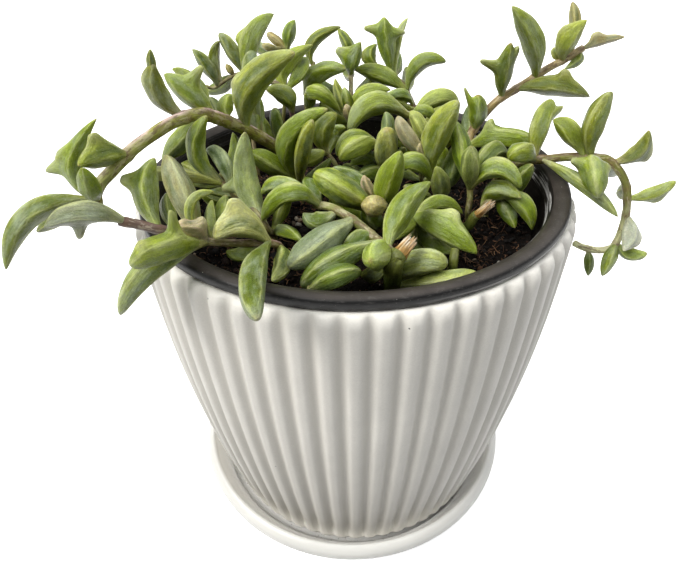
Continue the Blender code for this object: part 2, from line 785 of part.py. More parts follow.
def fill_leaves(chance, routes, thicket, view):
    """Leaves in a spiral along every stem, the last first, wherever one has room and shows."""
    leaves = []
    shown, back = 0, 0
    for number, route in reversed(list(enumerate(routes))):
        every = round(LEAF_EVERY / 2)
        for step, at in enumerate(range(len(route) - 2, 1, -every)):
            for more in range(10):
                turn = step * TURN_PER_LEAF + more * 1.3
                leaf = filling_leaf(number, route, at, turn, 1 - 0.03 * more, chance)
                places, radii, shares = leaf_balls(leaf)
                outer = shares > 0.2
                if not clear_of_pots(places[outer], radii[outer]):
                    continue
                kept = view.is_kept_by(places, radii)
                if not kept or not thicket.has_room(number, places, radii, shares):
                    continue
                if view.shows(places) > 0.35 and shown < SHOWN_LEAVES:
                    shown += 1
                    view.add(places, radii)
                elif places[:, 1].mean() > 45 and back < BACK_LEAVES:
                    back += 1
                else:
                    continue
                thicket.add(number, places, radii, shares)
                leaves.append(leaf)
                break
    return leaves


def lay_out():
    """Every stem and leaf in its place. A shoot with room for no more than one leaf is left out."""
    chance = np.random.default_rng(8)
    thicket = Thicket()
    routes = [stem_route(stem) for stem in STEMS]
    for number, (stem, route) in enumerate(zip(STEMS, routes)):
        thicket.add(number, route, np.full(len(route), stem.thick / 2), np.zeros(len(route)))
    names = [stem.name for stem in STEMS]
    for stub in STUBS:
        route = smooth_route([*stub_route(stub), seen(*stub.dry_tip)])
        number = names.index(stub.name) if stub.name in names else -1
        thicket.add(number, route, np.full(len(route), stub.thick / 2), np.zeros(len(route)))
    leaves = []
    for number, (stem, route) in enumerate(zip(STEMS, routes)):
        for leaf in stem.leaves:
            placed = place_leaf(number, leaf, route, thicket)
            if placed:
                leaves.append(placed)
    view = View(thicket)
    shoots = shoot_routes(chance, thicket, view)
    leaves += fill_leaves(chance, routes + shoots, thicket, view)
    trunks = []
    for number, route in enumerate(routes + shoots):
        own = [leaf for leaf in leaves if leaf.stem == number]
        if number < len(STEMS):
            trunks.append(Trunk(STEMS[number].name, STEMS[number].thick, route, own))
        elif len(own) > 1:
            name = f"short_shoot_{len(trunks) - len(STEMS) + 1:02d}"
            trunks.append(Trunk(name, SHOOT_THICK, route, own))
    return trunks


# Blender helpers.


def clear_scene():
    for thing in list(bpy.data.objects):
        bpy.data.objects.remove(thing, do_unlink=True)


def new_collection(name):
    collection = bpy.data.collections.new(name)
    bpy.context.scene.collection.children.link(collection)
    return collection


def material(name, colour, roughness):
    made = bpy.data.materials.new(name)
    made.use_nodes = True
    shader = made.node_tree.nodes["Principled BSDF"]
    shader.inputs["Base Color"].default_value = (*colour, 1)
    shader.inputs["Roughness"].default_value = roughness
    shader.inputs["Metallic"].default_value = 0
    return made


def add_object(name, data, collection, surface=None):
    made = bpy.data.objects.new(name, data)
    collection.objects.link(made)
    if surface:
        data.materials.append(surface)
    return made


def mesh_from_bmesh(name, work):
    bmesh.ops.recalc_face_normals(work, faces=work.faces)
    mesh = bpy.data.meshes.new(name)
    work.to_mesh(mesh)
    work.free()
    return mesh


def mesh_of_object(thing):
    """The object's mesh as its modifiers leave it, with a curve's loose caps welded."""
    graph = bpy.context.evaluated_depsgraph_get()
    mesh = bpy.data.meshes.new_from_object(thing.evaluated_get(graph))
    work = bmesh.new()
    work.from_mesh(mesh)
    bmesh.ops.remove_doubles(work, verts=work.verts, dist=1e-6)
    bmesh.ops.triangulate(work, faces=work.faces)
    bpy.data.meshes.remove(mesh)
    return mesh_from_bmesh(thing.name, work)


def turned(name, profile, sides, collection, surface):
    """A closed or axis-ended profile of (radius, height) turned about the Z axis."""
    work = bmesh.new()
    points = [work.verts.new((radius * MM, 0, height * MM)) for radius, height in profile]
    for start, end in zip(points, points[1:]):
        work.edges.new((start, end))
    if profile[0][0] > 0:
        work.edges.new((points[-1], points[0]))
    mesh = bpy.data.meshes.new(name)
    work.to_mesh(mesh)
    work.free()
    made = add_object(name, mesh, collection, surface)
    screw = made.modifiers.new("Turn", "SCREW")
    screw.steps = sides
    screw.render_steps = sides
    screw.use_merge_vertices = True
    screw.merge_threshold = 0.00001
    screw.use_smooth_shade = True
    return made


def cut_away(thing, cutter, solver="EXACT"):
    cut = thing.modifiers.new("Cut " + cutter.name, "BOOLEAN")
    cut.operation = "DIFFERENCE"
    cut.object = cutter
    cut.solver = solver
    cutter.hide_render = True
    cutter.display_type = "WIRE"


def upright_cylinder(name, places, radius, low, high, sides, collection):
    """One mesh of upright cylinders that stand apart, as a cutter."""
    work = bmesh.new()
    for across, behind, wide in ((x, y, radius if radius else r) for x, y, r in places):
        made = bmesh.ops.create_cone(
            work, cap_ends=True, segments=sides, depth=(high - low) * MM,
            radius1=wide / math.cos(math.pi / sides) * MM,
            radius2=wide / math.cos(math.pi / sides) * MM,
        )
        middle = (across * MM, behind * MM, (low + high) / 2 * MM)
        bmesh.ops.translate(work, verts=made["verts"], vec=middle)
    return add_object(name, mesh_from_bmesh(name, work), collection)


# Saucer and pots.


def make_saucer(collection, surface):
    inner = SAUCER_FLOOR_RADIUS
    profile = [
        (0, SAUCER_FLOOR), (inner, SAUCER_FLOOR), (inner + 2.2, 4.2), (inner + 3.9, 9.0),
        (inner + 5.1, 12.8), (inner + 6.6, SAUCER_HIGH), (SAUCER_OUTER - 1.2, 13.0),
        (SAUCER_OUTER, 10.0), (SAUCER_OUTER - 0.6, 6.5), (SAUCER_OUTER - 4.0, 2.6),
        (SAUCER_OUTER - 8.5, 0.6), (SAUCER_OUTER - 11.0, 0), (0, 0),
    ]
    made = turned("saucer", profile, SAUCER_SIDES, collection, surface)
    made.location.x = SAUCER_ACROSS * MM


def cover_radius(height):
    """The radius over the ribs' crests: the wall leans out and straightens towards the top."""
    share = height / COVER_TOP
    return COVER_FOOT_RADIUS + (COVER_TOP_RADIUS - COVER_FOOT_RADIUS) * (1 - (1 - share) ** 2)


def make_cover_pot(collection, cutters, surface):
    around = RIBS * RIB_SEGMENTS
    heights = [COVER_FOOT, RIBS_START, 50.0, 98.0, COVER_TOP]
    work = bmesh.new()
    rows = []
    for height in heights:
        depth = RIB_DEPTH if height >= RIBS_START else 0.4
        row = []
        for step in range(around):
            rib_share = (step % RIB_SEGMENTS) / RIB_SEGMENTS
            groove = depth * math.cos(math.pi * rib_share) ** 4
            angle = RIB_TURN + math.tau * step / around
            radius = cover_radius(height) - groove
            place = (radius * math.sin(angle), -radius * math.cos(angle), height)
            row.append(work.verts.new([part * MM for part in place]))
        rows.append(row)
    for low, high in zip(rows, rows[1:]):
        for step in range(around):
            after = (step + 1) % around
            work.faces.new((low[step], low[after], high[after], high[step]))
    work.faces.new(rows[0][::-1])
    work.faces.new(rows[-1])
    made = add_object("cover_pot", mesh_from_bmesh("cover_pot", work), collection, surface)

    inside = []
    for height in (COVER_TOP + 5, COVER_TOP, 98.0, 50.0, COVER_FOOT + COVER_FLOOR + 4.0):
        inside.append((cover_radius(min(height, COVER_TOP)) - COVER_WALL, height))
    inside.append((inside[-1][0] - 5.0, COVER_FOOT + COVER_FLOOR))
    inside.insert(0, (0, COVER_TOP + 5))
    inside.append((0, COVER_FOOT + COVER_FLOOR))
    hollow = turned("cover_pot_hollow", inside, INSIDE_SIDES, cutters, None)
    cut_away(made, hollow)
    drain = upright_cylinder(
        "cover_pot_drain", [(0, 0, COVER_DRAIN)], None, COVER_FOOT - 2, COVER_FOOT + COVER_FLOOR + 2,
        16, cutters,
    )
    cut_away(made, drain)


def nursery_radius(height):
    """The nursery pot's outer radius below its rim."""
    share = (height - NURSERY_FOOT) / (COVER_TOP - NURSERY_FOOT)
    return NURSERY_FOOT_RADIUS + (NURSERY_TOP_RADIUS - NURSERY_FOOT_RADIUS) * share


def make_nursery_pot(collection, cutters, surface):
    under_rim = COVER_TOP + GAP
    inner = [(RIM_INNER, RIM_TOP), (nursery_radius(under_rim) - NURSERY_WALL, under_rim - 1.0)]
    floor = NURSERY_FOOT + NURSERY_WALL
    inner.append((nursery_radius(floor) - NURSERY_WALL, floor))
    profile = [
        (0, floor), *inner[::-1], (RIM_OUTER - 0.6, RIM_TOP), (RIM_OUTER, RIM_TOP - 0.7),
        (RIM_OUTER, under_rim), (nursery_radius(under_rim), under_rim),
        (NURSERY_FOOT_RADIUS, NURSERY_FOOT), (0, NURSERY_FOOT),
    ]
    made = turned("nursery_pot", profile, NURSERY_SIDES, collection, surface)
    places = []
    for hole in range(DRAIN_HOLES):
        angle = math.tau * hole / DRAIN_HOLES
        places.append((DRAIN_CIRCLE * math.cos(angle), DRAIN_CIRCLE * math.sin(angle), DRAIN_RADIUS))
    drains = upright_cylinder(
        "nursery_pot_drains", places, None, NURSERY_FOOT - 2, floor + 2, 8, cutters
    )
    cut_away(made, drains)


def soil_height(across, behind):
    """The top of the soil, slightly uneven."""
    wave = math.sin(across * 0.21 + 1.3) * math.sin(behind * 0.17 - 0.6)
    wave += 0.6 * math.sin(across * 0.09 - behind * 0.13)
    return SOIL_TOP + SOIL_UNEVEN * wave / 1.6


def make_soil(trunks, collection, cutters, surface):
    floor = NURSERY_FOOT + NURSERY_WALL + GAP
    side = nursery_radius(SOIL_TOP) - NURSERY_WALL - GAP - 0.1
    foot = nursery_radius(floor) - NURSERY_WALL - GAP - 0.1
    work = bmesh.new()
    bmesh.ops.create_cone(
        work, cap_ends=True, segments=SOIL_SIDES, depth=(SOIL_TOP - floor) * MM,
        radius1=foot * MM, radius2=side * MM,
    )
    bmesh.ops.translate(work, verts=work.verts, vec=(0, 0, (SOIL_TOP + floor) / 2 * MM))
    top = max(work.faces, key=lambda face: face.calc_center_median().z)
    for inset in (12.0, 24.0):
        bmesh.ops.inset_region(work, faces=[top], thickness=inset * MM, use_even_offset=True)
    for vertex in work.verts:
        away = math.hypot(vertex.co.x, vertex.co.y) / MM
        if vertex.co.z > (SOIL_TOP - 1) * MM and away < side - 4:
            vertex.co.z = soil_height(vertex.co.x / MM, vertex.co.y / MM) * MM
    made = add_object("soil", mesh_from_bmesh("soil", work), collection, surface)
    wide = {stub.name: stub.thick for stub in STUBS}
    places = []
    for trunk in trunks:
        thick = wide.get(trunk.name, trunk.thick)
        places.append((trunk.route[0][0], trunk.route[0][1], thick / 2 + GAP + 0.05))
    lone = seen_on_soil(*STUBS[1].root)
    places.append((lone[0], lone[1], STUBS[1].thick / 2 + GAP + 0.05))
    holes = upright_cylinder(
        "stem_holes", places, None, SOIL_TOP - ROOT_DEEP - GAP, SOIL_TOP + 4, 6, cutters
    )
    cut_away(made, holes)


# Stems and leaves.


def tube_object(name, points, thick, end_share, collection):
    """A round tube through the points, which thins evenly to a share of its thickness."""
    curve = bpy.data.curves.new(name, "CURVE")
    curve.dimensions = "3D"
    curve.bevel_depth = thick / 2 * MM
    curve.bevel_resolution = STEM_BEVEL
    curve.use_fill_caps = True
    spline = curve.splines.new("POLY")
    spline.points.add(len(points) - 1)
    away = np.insert(np.cumsum(np.linalg.norm(np.diff(points, axis=0), axis=1)), 0, 0)
    for point, place, share in zip(spline.points, points, away / away[-1]):
        point.co = (*(place * MM), 1)
        point.radius = 1 - (1 - end_share) * share
    return add_object(name + "_tube", curve, collection)


def sunk(points):
    """The points of a tube that also goes straight down into its hole in the soil."""
    return [points[0] - np.array((0, 0, ROOT_DEEP)), *points]


def thinned(route):
    """The points of a route that a tube needs to stay close to it, with its first two and last."""
    kept = [0, 1]
    while kept[-1] < len(route) - 1:
        first = kept[-1]
        reach = first + 1
        for last in range(first + 2, len(route)):
            way = unit(route[last] - route[first])
            passed = route[first + 1 : last] - route[first]
            if np.linalg.norm(passed - np.outer(passed @ way, way), axis=1).max() > TUBE_OFF_ROUTE:
                break
            reach = last
        kept.append(reach)
    return route[kept]


def leaf_frame(leaf, share):
    """At this share of the leaf: its middle, its outward side and the side across that."""
    start, middle, end = leaf.ends
    control = 2 * middle - (start + end) / 2
    along = unit(2 * (1 - share) * (control - start) + 2 * share * (end - control))
    outward = middle - (start + end) / 2
    if np.linalg.norm(outward) < 0.3:
        outward = np.array((0.0, 0.0, 1.0)) + 0.2 * EYE_RIGHT
    outward = unit(outward - along * (outward @ along))
    return on_bend(leaf.ends, share), outward, np.cross(along, outward)


def leaf_mesh(leaf, name):
    """A fleshy bent blade from a point inside the stem, with a corner drawn out for each fin."""
    fin_shares = [share for share, point in leaf.fins]
    beside = [share + side for share in fin_shares for side in (-FIN_HALF_LONG, FIN_HALF_LONG)]
    shares = list(fin_shares)
    for ring_share, apart in [(s, 1.2) for s in LEAF_RINGS] + [(s, 0.9) for s in beside]:
        if all(abs(ring_share - share) > FIN_HALF_LONG * apart for share in fin_shares):
            shares.append(ring_share)
    shares = sorted(set(np.round(shares, 3)))
    work = bmesh.new()
    rings = []
    for share in shares:
        middle, outward, side = leaf_frame(leaf, share)
        radius = leaf.wide / 2 * CORNERS_OUT * float(leaf_fullness(np.array(share)))
        ring = []
        for step in range(leaf.sides):
            angle = math.tau * step / leaf.sides
            place = middle + radius * (
                outward * math.cos(angle) * LEAF_THICK + side * math.sin(angle)
            )
            ring.append(place)
        for fin_share, point in leaf.fins:
            if abs(fin_share - share) < 0.001:
                nearest = min(range(leaf.sides), key=lambda i: np.linalg.norm(ring[i] - point))
                ring[nearest] = point
        rings.append([work.verts.new(place * MM) for place in ring])
    for low, high in zip(rings, rings[1:]):
        for step in range(leaf.sides):
            after = (step + 1) % leaf.sides
            work.faces.new((low[step], low[after], high[after], high[step]))
    base = work.verts.new(leaf.ends[0] * MM)
    tip = work.verts.new(leaf.ends[2] * MM)
    for step in range(leaf.sides):
        after = (step + 1) % leaf.sides
        work.faces.new((rings[-1][step], rings[-1][after], tip))
        work.faces.new((rings[0][after], rings[0][step], base))
    bmesh.ops.triangulate(work, faces=work.faces)
    return mesh_from_bmesh(name, work)


def keep_body(mesh):
    """Keeps the largest closed shell, so that sealed hollows are filled and scraps are dropped."""
    work = bmesh.new()
    work.from_mesh(mesh)
    waiting = set(work.faces)
    shells = []
    while waiting:
        shell = {waiting.pop()}
        edge = list(shell)
        while edge:
            for loop_edge in edge.pop().edges:
                for face in loop_edge.link_faces:
                    if face in waiting:
                        waiting.remove(face)
                        shell.add(face)
                        edge.append(face)
        shells.append(shell)
    kept = max(shells, key=len)
    spare = [face for shell in shells if shell is not kept for face in shell]
    bmesh.ops.delete(work, geom=spare, context="FACES")
    loose = [vertex for vertex in work.verts if not vertex.link_faces]
    bmesh.ops.delete(work, geom=loose, context="VERTS")
    work.to_mesh(mesh)
    work.free()


def fuse(name, trunk, pieces, collection, surface):
    """One solid of the trunk and everything in the collection of pieces."""
    body = add_object(name, mesh_of_object(trunk), collection)
    bpy.data.objects.remove(trunk, do_unlink=True)
    if pieces.objects:
        union = body.modifiers.new("Fuse", "BOOLEAN")
        union.operation = "UNION"
        union.operand_type = "COLLECTION"
        union.collection = pieces
        union.solver = "MANIFOLD"
    fused = mesh_of_object(body)
    keep_body(fused)
    fused.name = name
    body.modifiers.clear()
    body.data = fused
    body.data.materials.append(surface)
    for piece in list(pieces.objects):
        bpy.data.objects.remove(piece, do_unlink=True)
    bpy.data.collections.remove(pieces)
    body.data.shade_smooth()
    body.data.set_sharp_from_angle(angle=math.radians(50))


def make_leafy_stems(trunks, collection, surface):
    for trunk in trunks:
        pieces = new_collection(trunk.name + "_leaves")
        for leaf in trunk.leaves:
            add_object("leaf", leaf_mesh(leaf, "leaf"), pieces)
        for stub in STUBS:
            if stub.name == trunk.name:
                tube = tube_object("stub", sunk(stub_route(stub)), stub.thick, 1.0, pieces)
                add_object("foot", mesh_of_object(tube), pieces)
                bpy.data.objects.remove(tube, do_unlink=True)
        stem = tube_object(trunk.name, sunk(thinned(trunk.route)), trunk.thick, 0.7, collection)
        fuse(trunk.name, stem, pieces, collection, surface)


def make_cut_stub(stub, collection, surface):
    tube = tube_object(stub.name, sunk(stub_route(stub)), stub.thick, 1.0, collection)
    add_object(stub.name, mesh_of_object(tube), collection, surface)
    bpy.data.objects.remove(tube, do_unlink=True)


def make_dry_end(name, stub, collection, surface):
    """The dried end of a cut stub: a frayed cone whose last ring of corners is uneven."""
    start, end = seen(*stub.end), seen(*stub.dry_tip)
    along = unit(end - start)
    level = unit(np.cross(along, (0, 0, 1)))
    upright = np.cross(level, along)
    start = start + along * GAP
    work = bmesh.new()
    rings = []
    for share, wide in ((0.0, 0.92), (0.55, 0.78), (1.0, 0.72)):
        ring = []
        for step in range(DRY_SIDES):
            angle = math.tau * step / DRY_SIDES
            torn = DRY_TORN * (step % 2) if share == 1.0 else 0.0
            out = level * math.cos(angle) + upright * math.sin(angle)
            place = start + (end - start) * (share - torn) + out * stub.thick / 2 * wide
            ring.append(work.verts.new(place * MM))
        rings.append(ring)
    for low, high in zip(rings, rings[1:]):
        for step in range(DRY_SIDES):
            after = (step + 1) % DRY_SIDES
            work.faces.new((low[step], low[after], high[after], high[step]))
    work.faces.new(rings[0][::-1])
    bottom = work.verts.new((start + (end - start) * (1 - DRY_TORN * 1.2)) * MM)
    for step in range(DRY_SIDES):
        work.faces.new((rings[-1][step], rings[-1][(step + 1) % DRY_SIDES], bottom))
    bmesh.ops.triangulate(work, faces=work.faces)
    add_object(name, mesh_from_bmesh(name, work), collection, surface)


def main():
    clear_scene()
    parts = new_collection("potted_string_of_dolphins")
    cutters = new_collection("cutters")
    green = material("leaf_green", LEAF_GREEN, 0.45)
    dry = material("dry_tan", DRY_TAN, 0.9)
    make_saucer(parts, material("saucer_white", SAUCER_WHITE, 0.4))
    make_cover_pot(parts, cutters, material("pot_white", POT_WHITE, 0.5))
    make_nursery_pot(parts, cutters, material("rim_black", RIM_BLACK, 0.5))
    trunks = lay_out()
    make_soil(trunks, parts, cutters, material("soil_brown", SOIL_BROWN, 0.95))
    make_leafy_stems(trunks, parts, green)
    make_cut_stub(STUBS[1], parts, green)
    make_dry_end("front_dry_end", STUBS[0], parts, dry)
    make_dry_end("right_dry_end", STUBS[1], parts, dry)


main()
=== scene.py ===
"""The looks of the potted string of dolphins: its fine leaves, ribs and soil, its finishes, the light
and the camera.

Lengths are millimetres until a mesh is made, with +Z up, as in the model's own source, whose layout
of the stems and leaves is repeated here so that every fine leaf lies where its plain one does.
"""

import itertools
import math
from typing import NamedTuple

import bpy
import numpy as np
from mathutils import Matrix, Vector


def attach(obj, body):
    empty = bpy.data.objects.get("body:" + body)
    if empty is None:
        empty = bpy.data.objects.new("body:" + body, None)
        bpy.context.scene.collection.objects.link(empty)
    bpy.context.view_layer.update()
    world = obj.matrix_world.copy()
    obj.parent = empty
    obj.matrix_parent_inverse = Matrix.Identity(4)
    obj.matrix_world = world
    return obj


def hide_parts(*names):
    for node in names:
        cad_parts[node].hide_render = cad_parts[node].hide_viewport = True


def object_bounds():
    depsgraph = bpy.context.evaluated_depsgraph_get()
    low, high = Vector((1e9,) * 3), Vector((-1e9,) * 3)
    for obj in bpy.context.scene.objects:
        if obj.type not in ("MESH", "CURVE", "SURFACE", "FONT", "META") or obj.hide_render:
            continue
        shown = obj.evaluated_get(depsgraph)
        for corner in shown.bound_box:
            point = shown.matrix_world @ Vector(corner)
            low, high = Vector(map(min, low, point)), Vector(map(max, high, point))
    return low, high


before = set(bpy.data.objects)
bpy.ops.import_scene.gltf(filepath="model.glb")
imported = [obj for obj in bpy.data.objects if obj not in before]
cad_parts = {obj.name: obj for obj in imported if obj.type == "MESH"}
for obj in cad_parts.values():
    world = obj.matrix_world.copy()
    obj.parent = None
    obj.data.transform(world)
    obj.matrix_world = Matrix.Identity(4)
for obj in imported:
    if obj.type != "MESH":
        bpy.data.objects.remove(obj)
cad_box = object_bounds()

MM = 0.001
GAP = 0.3

# The saucer, which the cover pot stands on a little to the right of its middle.
SAUCER_ACROSS = -1.5
SAUCER_OUTER = 73.3
SAUCER_HIGH = 14.0
SAUCER_FLOOR = 2.2
SAUCER_FLOOR_RADIUS = 63.4

# The white cover pot: upright full ribs side by side with rounded grooves between them.
COVER_FOOT = SAUCER_FLOOR + GAP
COVER_TOP = 144.6
COVER_FOOT_RADIUS = 61.1
COVER_TOP_RADIUS = 78.8
COVER_WALL = 5.0
COVER_FLOOR = 4.0
COVER_DRAIN = 7.0
RIBS = 60
RIB_DEPTH = 2.0
RIB_TURN = math.radians(-2.6)

# The black nursery pot hangs by its rim on the cover pot's top edge.
RIM_TOP = 148.6
RIM_OUTER = 76.0
RIM_INNER = 71.7
NURSERY_WALL = 1.6
NURSERY_TOP_RADIUS = 70.9
NURSERY_FOOT_RADIUS = 56.0
NURSERY_FOOT = 30.0
DRAIN_HOLES = 6
DRAIN_RADIUS = 4.5
DRAIN_CIRCLE = 38.0

# The soil: its top, how uneven it is, and how deep each stem stands in it.
SOIL_TOP = 129.0
SOIL_UNEVEN = 0.9
ROOT_DEEP = 9.0

# Stems and leaves.
CLEAR_OF_OTHERS = 0.5
CLEAR_OF_SISTERS = -0.5
STRAIGHT_FOOT = 2.5
LEAF_BASE_SHARE = 0.32
LEAF_FULLEST = 0.46
LEAF_THICK = 0.86

# Short shoots and leaves that fill the plant where the given layout leaves room.
SHOOT_PLACES = 160
SHOOT_HIGH = (8.0, 22.0)
SHOOT_THICK = 2.0
MOST_SHOOTS = 22
LEAF_EVERY = 4.0
FILLING_LEAF_LONG = (19.0, 27.0)
SHOWN_LEAVES = 34
BACK_LEAVES = 16
TURN_PER_LEAF = math.radians(137.5)
BARE_SOIL = ((515, 250, 42), (458, 262, 14), (299, 222, 12), (345, 284, 12), (445, 190, 9))

# The eye that the plant is laid out from.
EYE_BEFORE = 182.4
EYE_HIGH = 235.5
EYE_TURN = -0.032
EYE_DOWN = 0.646
EYE_ROLL = -0.024
EYE_FOCUS = 540.0
PICTURE_WIDE = 679
PICTURE_MIDDLE = (339.5, 280.5)
SENSOR_WIDE = 36.0

# A direction that no stem and no leaf follows.
ASKEW = (0.31, -0.95, 0.1)


class Leaf(NamedTuple):
    """Where a leaf leaves its stem, passes and ends, how wide it is, and the points of its fins."""

    base: tuple
    middle: tuple
    tip: tuple
    wide: float
    fins: tuple = ()


class Stem(NamedTuple):
    """A stem's place in the soil, the way it goes from there, its thickness and its leaves."""

    name: str
    root: tuple
    route: tuple
    thick: float
    leaves: tuple


class Stub(NamedTuple):
    """A cut shoot: its place in the soil, where it bends, its green end, its dry tip and its thickness."""

    name: str
    root: tuple
    bend: tuple
    end: tuple
    dry_tip: tuple
    thick: float


# The first stub is the foot of the front branch, which grew on from its side.
STUBS = (
    Stub("front_branch_stem", (392, 292), (393, 268, -58), (399, 255, -57), (415, 236, -53), 5.0),
    Stub("right_cut_stub", (458, 238), (468, 226, -19), (477, 215, -20), (494, 201, -22), 3.2),
)

